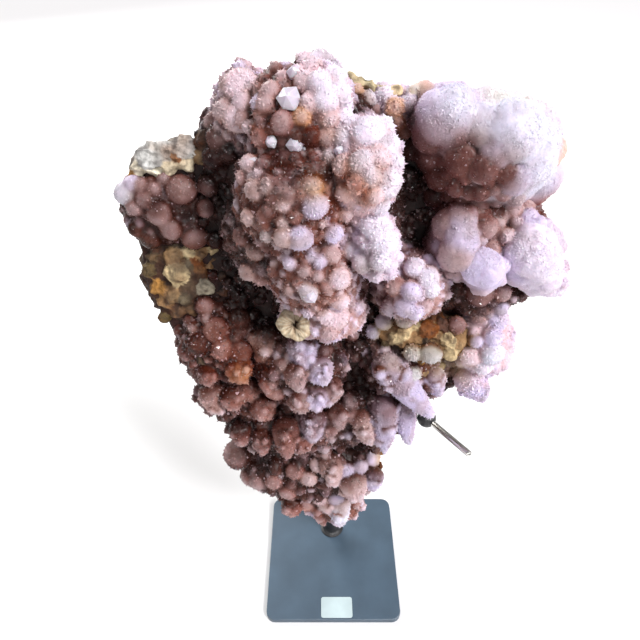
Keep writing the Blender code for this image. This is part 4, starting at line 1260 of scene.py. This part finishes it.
crystalMaterial = crystalFinish("druzy quartz", {
    "noiseScale": 240.0, "value": (0.92, 1.08), "rough": (0.4, 0.08), "glintByMesh": True,
    "facetScale": 900.0, "facetTilt": 0.1, "sink": 0.5, "sinkDepth": 0.0006, "specular": 0.18,
    "sinkTint": (1.0, 0.9, 0.95),
})
groundMaterial = crystalFinish("quartz under its crystals", {
    "noiseScale": 160.0, "value": (0.85, 1.1), "rough": (0.2, 0.5), "glintByMesh": False,
    "facetScale": 1300.0, "facetTilt": 0.2, "sink": 0.9, "sinkDepth": 0.0025, "specular": 0.1,
    "sinkTint": (1.0, 0.82, 0.84),
})
rockMaterial = rockFinish({
    "noiseScale": 420.0, "value": (0.6, 1.25), "grainScale": 620.0, "bump": (0.8, 0.0009),
    "rough": (0.45, 0.95), "specular": 0.2,
})

# Fine crystals over all of the quartz, and larger points among them: how far apart, sizes in
# millimetres, how deep the foot is sunk, and how much of dark and of bright ground they cover.
# On the smoother masses fewer grow, by "plain", and lower ones, by "plainHeight".
druse = {
    "fine": {
        "spacing": 1.15, "radius": (0.45, 0.75), "height": (0.15, 0.55), "sunk": 0.2, "tilt": 0.25,
        "sides": 3, "cover": (0.35, 1.0), "plain": 1.0, "most": 125000, "inPiece": 42000, "glint": 0.25,
        "spread": (0.05, 0.3), "even": 0.6, "plainHeight": 1.0,
    },
    "point": {
        "spacing": 2.0, "radius": (0.55, 1.15), "height": (0.6, 1.7), "sunk": 0.5, "tilt": 0.35,
        "sides": 6, "cover": (0.55, 1.0), "plain": 0.6, "most": 38000, "inPiece": 19000, "glint": 0.4,
        "spread": (0.05, 0.35), "even": 0.6, "plainHeight": 0.5,
    },
}
plainMasses = massNumbers(
    ("dome", "domeCorner", "lobeLeft", "lobeMid", "lobeRight", "leftCluster", "upperLeftLow"))


def scatter(points, triangles, spacing):
    # places spread over the triangles by area, thinned to one in each cell of the spacing
    corner = points[triangles]
    area = np.linalg.norm(crosses(points, triangles), axis=1) / 2.0
    count = int(area.sum() / spacing ** 2 * 2.2)
    chosen = chance.choice(len(area), size=count, p=area / area.sum())
    first, second = chance.random((2, count))
    swap = first + second > 1.0
    first[swap], second[swap] = 1.0 - first[swap], 1.0 - second[swap]
    weights = np.stack([1.0 - first - second, first, second], axis=1)
    places = (corner[chosen] * weights[..., None]).sum(axis=1)
    kept = oneInEachCell(places, spacing)
    return places[kept], chosen[kept], weights[kept]


def crystalShapes(places, ways, radii, heights, plan):
    # places round the foot, nearer and further by turns, and the point at the end of the axis
    sides = plan["sides"]
    side = unit(np.cross(ways, unit(chance.normal(size=ways.shape))))
    other = np.cross(ways, side)
    swing = radii[:, None] * np.where(np.arange(sides) % 2 == 0, 1.0, 0.82)
    foot = places - ways * plan["sunk"]
    ring = swung(foot[:, None], side[:, None], other[:, None], swing, ringTurns(sides))
    top = places + ways * heights[:, None]
    points = np.concatenate([ring, top[:, None]], axis=1)
    flanks = [(n, (n + 1) % sides, sides) for n in range(sides)]
    feet = [(0, n + 1, n) for n in range(1, sides - 1)]
    return points, np.array(flanks + feet)


def joined(group):
    # the surfaces' points and triangles in one list each, with the mass and growth of every point
    many = [len(surface["points"]) for surface in group]
    start = np.cumsum([0] + many)
    points = np.concatenate([surface["points"] for surface in group])
    triangles = np.concatenate([surface["triangles"] + first for surface, first in zip(group, start)])
    mass = np.repeat([surface["mass"] for surface in group], many)
    growth = np.repeat([surface["growth"] for surface in group], many)
    return points, triangles, mass, growth


def fused(points, triangles, voxel, rounds):
    # one skin round all the closed lumps, on a grid of voxels, its creases rounded by smoothing
    holder = bpy.data.objects.new("lumps", plainMesh("lumps", points, triangles))
    bpy.context.scene.collection.objects.link(holder)
    skin = holder.modifiers.new("skin", "REMESH")
    skin.mode = "VOXEL"
    skin.voxel_size = voxel * mm
    soften = holder.modifiers.new("soften", "SMOOTH")
    soften.iterations = rounds
    holder.modifiers.new("triangles", "TRIANGULATE")
    bpy.context.view_layer.update()
    made = holder.evaluated_get(bpy.context.evaluated_depsgraph_get()).to_mesh()
    places = np.empty(len(made.vertices) * 3, np.float32)
    made.vertices.foreach_get("co", places)
    corners = np.empty(len(made.loops), np.int32)
    made.loops.foreach_get("vertex_index", corners)
    places, corners = places.reshape(-1, 3).astype(float) / mm, corners.reshape(-1, 3).astype(int)
    bpy.data.meshes.remove(holder.data)
    return places, corners


def owners(skin, points, mass, growth):
    # the mass and growth of the open source point nearest to each point of the skin
    outer = ~insideMasses(points, np.where(growth < 0, mass, -1), 0.9) & ~insideGrowths(points, growth, 0.9)
    points, mass, growth = points[outer], mass[outer], growth[outer]
    tree = KDTree(len(points))
    for number, point in enumerate(points):
        tree.insert(point, number)
    tree.balance()
    nearest = np.array([tree.find(point)[1] for point in skin])
    return mass[nearest], growth[nearest]


def evened(values, triangles, rounds):
    # each point's value blended with the mean of those it shares a triangle with
    count = len(values)
    pairs = np.concatenate([triangles[:, [0, 1]], triangles[:, [1, 2]], triangles[:, [2, 0]]])
    many = np.bincount(pairs[:, 0], minlength=count) + np.bincount(pairs[:, 1], minlength=count)
    for _ in range(rounds):
        total = np.stack([
            np.bincount(pairs[:, 0], values[pairs[:, 1], part], count)
            + np.bincount(pairs[:, 1], values[pairs[:, 0], part], count)
            for part in range(values.shape[1])], axis=1)
        values = 0.4 * values + 0.6 * total / np.maximum(many, 1)[:, None]
    return values


def findCrystals(region, points, triangles, color, jagged, plan):
    # places on the skin, with their way out and the skin's colour, painted shade included, fewer where
    # it is dark and where it is plain, none at the back, in deep holes or inside what belongs to another
    # region
    places, chosen, weights = scatter(points, triangles, plan["spacing"])
    ways = pointWays(points, triangles)
    ways = unit((ways[triangles[chosen]] * weights[..., None]).sum(axis=1))
    color = (color[triangles[chosen]] * weights[..., None]).sum(axis=1)
    cover = blend(*plan["cover"], smooth(color.mean(axis=1) / 0.5))
    rugged = np.where(jagged[triangles[chosen, 0]], 1.0, 0.0)
    cover = cover * blend(plan["plain"], 1.0, rugged)
    keep = (faceParts(places)[:, 2] > -12.0) & (chance.random(len(places)) < cover)
    keep &= openness(places) > 0.06
    others = [name for other in regions if other != region for name in regions[other]]
    keep &= ~insideMasses(places, nobody(places), 0.9, massNumbers(others))
    return places[keep], ways[keep], color[keep], rugged[keep]


def makeCrystals(kind, plan):
    found = [findCrystals(region, *skin, plan) for region, skin in skins.items()]
    places, ways, color, rugged = [np.concatenate(parts) for parts in zip(*found)]
    print(kind, "crystals found:", len(places))
    if len(places) > plan["most"]:
        kept = np.sort(chance.permutation(len(places))[:plan["most"]])
        places, ways, color, rugged = places[kept], ways[kept], color[kept], rugged[kept]
    count = len(places)
    outward = ways
    ways = unit(ways + plan["tilt"] * chance.normal(size=(count, 3)))
    size = np.clip(1.0 + 0.4 * cloud(places, 9.0, 6.0), 0.6, 1.6) * chance.uniform(0.75, 1.25, count)
    radii = size * chance.uniform(*plan["radius"], count)
    heights = size * chance.uniform(*plan["height"], count) * blend(plan["plainHeight"], 1.0, rugged)
    points, triangles = crystalShapes(places, ways, radii, heights, plan)
    many = points.shape[1]
    dark = 1.0 - smooth(color.mean(axis=1) / 0.5)
    shade = 1.0 + blend(*plan["spread"], dark) * chance.normal(size=count)
    pale = (0.6 * dark * chance.random(count) ** 12)[:, None]
    color = blend(color * np.clip(shade, 0.4, 1.8)[:, None], tintLight["blush"], pale)
    glint = (chance.random(count) < plan["glint"]) * chance.random(count)
    parts = math.ceil(count / plan["inPiece"])
    for part in range(parts):
        some = slice(part * count // parts, (part + 1) * count // parts)
        flat = points[some].reshape(-1, 3)
        corners = triangles[None] + many * np.arange(some.stop - some.start)[:, None, None]
        corners = facingOut(flat - flat.mean(axis=0), corners.reshape(-1, 3))
        mesh = makePiece(f"{kind}_crystals_{part + 1}", flat, corners,
                         np.repeat(color[some], many, axis=0), crystalMaterial, False)
        keepOnPoints(mesh, "glint", "FLOAT", "value", np.repeat(glint[some], many))
        way = np.repeat(outward[some] * plan["even"], many, axis=0)
        keepOnPoints(mesh, "way", "FLOAT_VECTOR", "vector", way)


# The fused skins: voxel size and rounds of smoothing, then round bumps as size and height. The
# smooth masses are evened once more, and so are their bumps and colours, but less where they are brown.
skinPlan = {
    "voxel": 1.1, "rounds": 1, "relief": (2.1, 0.3), "rockVoxel": 1.2, "backCoarser": 1.6, "rockScale": 0.8,
    "softRounds": {"dome": 12, "lobes": 2}, "softTint": {"dome": 24, "lobes": 16},
    "softEdge": 8, "softBumps": ((10.0, 2.4), (5.0, 1.6)), "brownLess": 0.8,
    "hollowRounds": (4, 16), "wideHollow": 0.5,
}


def softnessOf(skin, corners, jagged):
    softness = evened(1.0 - jagged[:, None], corners, skinPlan["softEdge"])
    for spot, tintPatch in zip(patchSpots, stainsAndShade):
        if tintPatch[3] == "cocoa":
            near = np.exp(-((skin - spot) ** 2).sum(axis=1) / tintPatch[2] ** 2)
            softness = softness * (1.0 - skinPlan["brownLess"] * near[:, None])
    return softness


def makeSkin(region, members):
    numbers = massNumbers(members)
    group = [each for each in surfaces if each["mass"] in numbers and each["ground"] == "druse"]
    points, triangles, mass, growth = joined(group)
    skin, corners = fused(points, triangles, skinPlan["voxel"], skinPlan["rounds"])
    mass, growth = owners(skin, points, mass, growth)
    jagged = ~np.isin(mass, plainMasses)
    soft = region in skinPlan["softRounds"]
    if soft:
        softness = softnessOf(skin, corners, jagged)
        skin = blend(skin, evened(skin, corners, skinPlan["softRounds"][region]), softness)
        for bump, raised in skinPlan["softBumps"]:
            ways = pointWays(skin, corners)
            skin = skin + ways * softness * raised * (nodules(skin, bump) - 0.5)[:, None]
    size, height = skinPlan["relief"]
    skin = skin + pointWays(skin, corners) * (height * (nodules(skin, size) - 0.5))[:, None]
    fine, wide = skinPlan["hollowRounds"]
    hollow = hollows(skin, corners, fine) + skinPlan["wideHollow"] * hollows(skin, corners, wide)
    color = evened(colored(skin, pointWays(skin, corners), mass, growth, hollow), corners, 1)
    if soft:
        color = blend(color, evened(color, corners, skinPlan["softTint"][region]), softness)
    makePiece(region + "_skin", skin, corners, color, groundMaterial, True)
    print(region, "skin", len(corners), "triangles")
    return skin, corners, color, jagged


def makeRocks(name, ground, voxel):
    points, triangles, mass, growth = joined([each for each in surfaces if each["ground"] == ground])
    skin, corners = fused(points, triangles, voxel, 1)
    mass, growth = owners(skin, points, mass, growth)
    skin = broken(skin, pointWays(skin, corners), skinPlan["rockScale"])
    color = rockColored(skin, pointWays(skin, corners), mass, growth)
    makePiece(name, skin, corners, color, rockMaterial, False)
    print(name, len(corners), "triangles")


def makeShield(points, triangles):
    # coloured as quartz in front and as bare rock at the back
    ways = pointWays(points, triangles)
    quartz, bare = [np.full(len(points), number) for number in massNumbers(("crownRoot", "backTop"))]
    front = colored(points, ways, quartz, nobody(points))
    back = rockColored(points, ways, bare, nobody(points))
    backness = smooth((-faceParts(points)[:, 2] - 2.0) / 8.0)[:, None]
    makePiece("matrix_shield", points, triangles, blend(front, back, backness), rockMaterial, True)


skins = {region: makeSkin(region, members) for region, members in regions.items()}
for kind, plan in druse.items():
    makeCrystals(kind, plan)
makeRocks("matrix_rocks", "bare", skinPlan["rockVoxel"])
makeRocks("back_rocks", "back", skinPlan["rockVoxel"] * skinPlan["backCoarser"])
makeShield(shieldPoints, shieldTriangles)

# The open tube at the foot of the crown: a ring ribbed by crystals that point in, its middle made
# dark by painted shade on the inside wall
tube = {
    "pick": (295.0, 324.0), "out": 39.0, "toFront": 0.25, "radius": 5.8, "wall": 4.5, "long": 11.0,
    "ribs": 17, "ribHeight": 0.05, "wave": 0.1, "oval": (0.12, 0.08), "rings": 22, "sides": 104,
    "noise": ((1.6, 0.0, 0.5), (4.0, 3.0, 0.7)), "pale": 0.75,
}


def makeTube(plan):
    # a circle carried round a larger one, drawn out backwards, with ribs by the cosine of the angle
    line = sightLines([plan["pick"]])[0]
    way = unit(-line + plan["toFront"] * outWay)
    middle = eye + line * (((faceMiddle + outWay * plan["out"] - eye) @ outWay) / (line @ outWay))
    side = unit(np.cross(way, np.array([0.0, 0.0, 1.0])))
    other = np.cross(way, side)
    turn, high = np.meshgrid(ringTurns(plan["sides"]), ringTurns(plan["rings"]), indexing="ij")
    turn, high = turn.ravel(), high.ravel()
    ribs = np.cos(plan["ribs"] * turn + 3.0 * np.sin(3.0 * turn) + 2.0 * np.cos(5.0 * turn + 0.7))
    rib = 1.0 + plan["ribHeight"] * ribs * (0.7 - 0.3 * np.cos(high))
    rib = rib + plan["wave"] * np.cos(7.0 * turn + 3.0 * high)
    wallOval, ringOval = plan["oval"]
    wall = plan["wall"] * rib * (1.0 + wallOval * np.cos(2.0 * turn + 1.0))
    far = plan["radius"] * (1.0 + ringOval * np.cos(3.0 * turn)) + wall * np.cos(high)
    tall = wall * np.sin(high)
    tall = np.where(tall < 0.0, tall * plan["long"] / plan["wall"], tall)
    points = swung(middle, side, other, far, turn) + way * tall[:, None]
    rough = sum(height * cloud(points, size, shift) for size, shift, height in plan["noise"])
    points = points + way * rough[:, None]
    first = np.arange(plan["sides"] * plan["rings"]).reshape(plan["sides"], plan["rings"])
    second = np.roll(first, -1, axis=0)
    square = np.stack([first, second, np.roll(second, -1, axis=1), np.roll(first, -1, axis=1)], axis=-1)
    triangles = np.concatenate([square[..., [0, 1, 2]], square[..., [0, 2, 3]]]).reshape(-1, 3)
    # painted shade: the inside wall of the ring is darker, the more so between the ribs
    insideShade = np.clip(-np.cos(high) * 0.9 + 0.25, 0.0, 1.0) ** 1.5
    streak = 0.7 + 0.3 * ribs
    color = blend(tintLight["beige"], plan["pale"] * tintLight["cream"], streak[:, None])
    dark = np.clip(insideShade * (0.35 + 0.3 * (1.0 - streak)), 0.0, 1.0)[:, None]
    makePiece("ring_tube", points, facingOut(points - middle, triangles),
              blend(color, tintLight["taupe"], dark), rockMaterial, True)


makeTube(tube)

# Clear crystal points: column, row, radius and length in millimetres, how far they lean to the side
clearPicks = (
    (309, 292, 4.8, 9.0, 0.3), (290, 101, 6.6, 7.0, 0.0), (296, 78, 4.6, 7.0, -0.1),
    (294, 143, 4.8, 7.0, 0.25), (274, 140, 3.8, 6.0, -0.3), (302, 147, 2.2, 4.5, 0.5),
    (257, 163, 2.6, 5.0, -0.4), (268, 234, 2.2, 3.6, 0.2), (341, 152, 3.0, 5.0, 0.2),
    (330, 160, 3.2, 5.0, -0.2), (363, 160, 3.0, 5.5, -0.1), (340, 168, 2.6, 4.5, 0.1),
    (311, 208, 2.2, 3.6, 0.3), (352, 222, 2.2, 4.2, 0.5), (328, 317, 2.4, 4.4, -0.2),
    (336, 325, 3.2, 5.0, 0.1), (365, 245, 2.4, 4.5, 0.3), (421, 271, 2.2, 4.0, 0.1),
    (486, 266, 2.2, 4.0, -0.2), (431, 350, 3.4, 4.5, 0.2), (262, 162, 2.0, 4.0, 0.3),
)


def clearFinish():
    # clear quartz with a trace of lilac and a few cloudy veils
    made, tree, shader, place = newMaterial("clear quartz")
    veils = noiseNode(tree, place, 330.0, 4.0)
    feed(tree, shader, {
        "Base Color": rampNode(tree, veils, ((0.0, (0.72, 0.64, 0.82)), (1.0, (0.96, 0.92, 1.0)))),
        "Roughness": rangeNode(tree, veils, 0.05, 0.4), "IOR": 1.54, "Transmission Weight": 0.3,
        "Subsurface Weight": 0.8, "Subsurface Radius": (1.0, 0.8, 0.9), "Subsurface Scale": 0.003,
    })
    return made


def makeClearPoints(picks):
    # a six-sided shaft that widens a little from its foot, and a six-sided point, not quite centred
    spots, lines = seats(picks)
    _, away = nearestMass(spots)
    spots = spots + lines * 1.2
    radii, lengths = listed(picks, 2), listed(picks, 3)
    ways = unit(-0.7 * lines + away + acrossWay * listed(picks, 4)[:, None])
    side = unit(np.cross(ways, np.array([0.3, 0.2, 0.9])))
    other = np.cross(ways, side)
    rings = []
    for tall, wide in ((-0.4, 0.85), (0.35, 1.0)):
        swing = radii[:, None] * wide * np.where(np.arange(6) % 2 == 0, 1.0, 0.88)
        ring = (spots + ways * (lengths * (tall + 0.35))[:, None])[:, None]
        rings.append(swung(ring, side[:, None], other[:, None], swing, ringTurns(6) + 0.3))
    top = spots + ways * (lengths * 1.25)[:, None] + side * (radii * 0.2)[:, None]
    points = np.concatenate(rings + [top[:, None]], axis=1)
    shaft = [(n, (n + 1) % 6, 6 + (n + 1) % 6) for n in range(6)]
    shaft += [(n, 6 + (n + 1) % 6, 6 + n) for n in range(6)]
    cap = [(6 + n, 6 + (n + 1) % 6, 12) for n in range(6)]
    foot = [(0, n + 1, n) for n in range(1, 5)]
    triangles = np.array(shaft + cap + foot)[None] + 13 * np.arange(len(picks))[:, None, None]
    triangles = facingOut(points.reshape(-1, 3) - points.mean(axis=(0, 1)), triangles.reshape(-1, 3))
    color = np.broadcast_to(tintLight["lilac"], (13 * len(picks), 3))
    makePiece("clear_points", points.reshape(-1, 3), triangles, color, clearFinish(), False)


makeClearPoints(clearPicks)
print("rock dressed")


def coatFinish(name, color, roughness, speckle, metallic=0.0):
    # paint, steel or paper: slow noise in its colour and a fine grain
    made, tree, shader, place = newMaterial(name)
    ends = [(at, [part * much for part in color]) for at, much in ((0.3, 0.85), (0.7, 1.15))]
    feed(tree, shader, {
        "Base Color": rampNode(tree, noiseNode(tree, place, 35.0, 6.0), ends),
        "Normal": bumpNode(tree, noiseNode(tree, place, 1400.0, 2.0), speckle, 0.0002),
        "Roughness": roughness, "Metallic": metallic,
    })
    return made


slateCoat = coatFinish("slate coat", (0.055, 0.090, 0.128), 0.42, 0.35)
blackCoat = coatFinish("black coat", (0.018, 0.018, 0.020), 0.38, 0.3)
steelFinish = coatFinish("bright steel", (0.70, 0.69, 0.66), 0.22, 0.1, 1.0)
paperFinish = coatFinish("white paper", (0.42, 0.52, 0.535), 0.6, 0.2)
for node, finish in (
    ("base_plate", slateCoat), ("post", blackCoat), ("support_arm", blackCoat),
    ("arm_clamp", blackCoat), ("prong", steelFinish), ("price_label", paperFinish),
):
    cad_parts[node].data.materials.clear()
    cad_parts[node].data.materials.append(finish)
print("stand dressed")


def addLamp(kind, name, way, power, color):
    lamp = bpy.data.lights.new(name, kind)
    lamp.energy = power
    lamp.color = color
    holder = bpy.data.objects.new(name, lamp)
    # a lamp shines along its own minus Z, which these angles turn to the way given
    holder.rotation_euler = (math.acos(-way[2] / np.linalg.norm(way)), 0.0, math.atan2(-way[0], way[1]))
    bpy.context.scene.collection.objects.link(holder)
    return lamp, holder


def areaLamp(name, place, aim, size, power, glossOnly=False):
    lamp, holder = addLamp("AREA", name, np.array(aim) - np.array(place), power, (1.0, 1.0, 1.0))
    lamp.shape = "DISK"
    lamp.size = size
    holder.location = place
    holder.visible_diffuse = not glossOnly


def makeFloor(settings):
    turn = ringTurns(settings["sides"])
    ring = np.stack([np.cos(turn), np.sin(turn), np.zeros(len(turn))], axis=1) * settings["radius"]
    mesh = bpy.data.meshes.new("floor")
    mesh.from_pydata(ring.tolist(), [], [list(range(len(turn)))])
    made, tree, shader, _ = newMaterial("pale floor")
    feed(tree, shader, {"Base Color": (*settings["color"], 1.0), "Roughness": 0.8})
    mesh.materials.append(made)
    floor = bpy.data.objects.new("floor", mesh)
    bpy.context.scene.collection.objects.link(floor)


makeFloor({"radius": 6.0, "sides": 64, "color": (0.86, 0.86, 0.86)})
keyLamp, _ = addLamp("SUN", "key", np.array([-0.68, 0.5, -0.8]), 4.1, (1.0, 0.985, 1.0))
keyLamp.angle = math.radians(26.0)
areaLamp("back", (-0.9, 1.2, 1.0), (-0.4, 0.3, 0.0), 1.4, 36.0)
for place in ((0.2, -0.6, 1.5), (1.0, -0.5, 1.1), (-0.9, -0.7, 1.0), (0.1, -1.3, 0.8)):
    areaLamp("glints", place, (0.0, 0.0, 0.32), 0.09, 8.0, True)
bpy.context.scene.view_settings.view_transform = "Standard"

world = bpy.data.worlds.new("studio")
bpy.context.scene.world = world
world.use_nodes = True
feed(world.node_tree, world.node_tree.nodes["Background"], {
    "Color": (1.0, 0.96, 0.95, 1.0), "Strength": 0.24})

lens = bpy.data.cameras.new("camera")
lens.sensor_width = 36.0
lens.lens = view["focus"] / (2.0 * view["half"]) * lens.sensor_width
camera = bpy.data.objects.new("camera", lens)
camera.location = eye * mm
camera.rotation_euler = (math.radians(90.0 - view["pitch"]), 0.0, 0.0)
bpy.context.scene.collection.objects.link(camera)
bpy.context.scene.camera = camera

print("scene done")
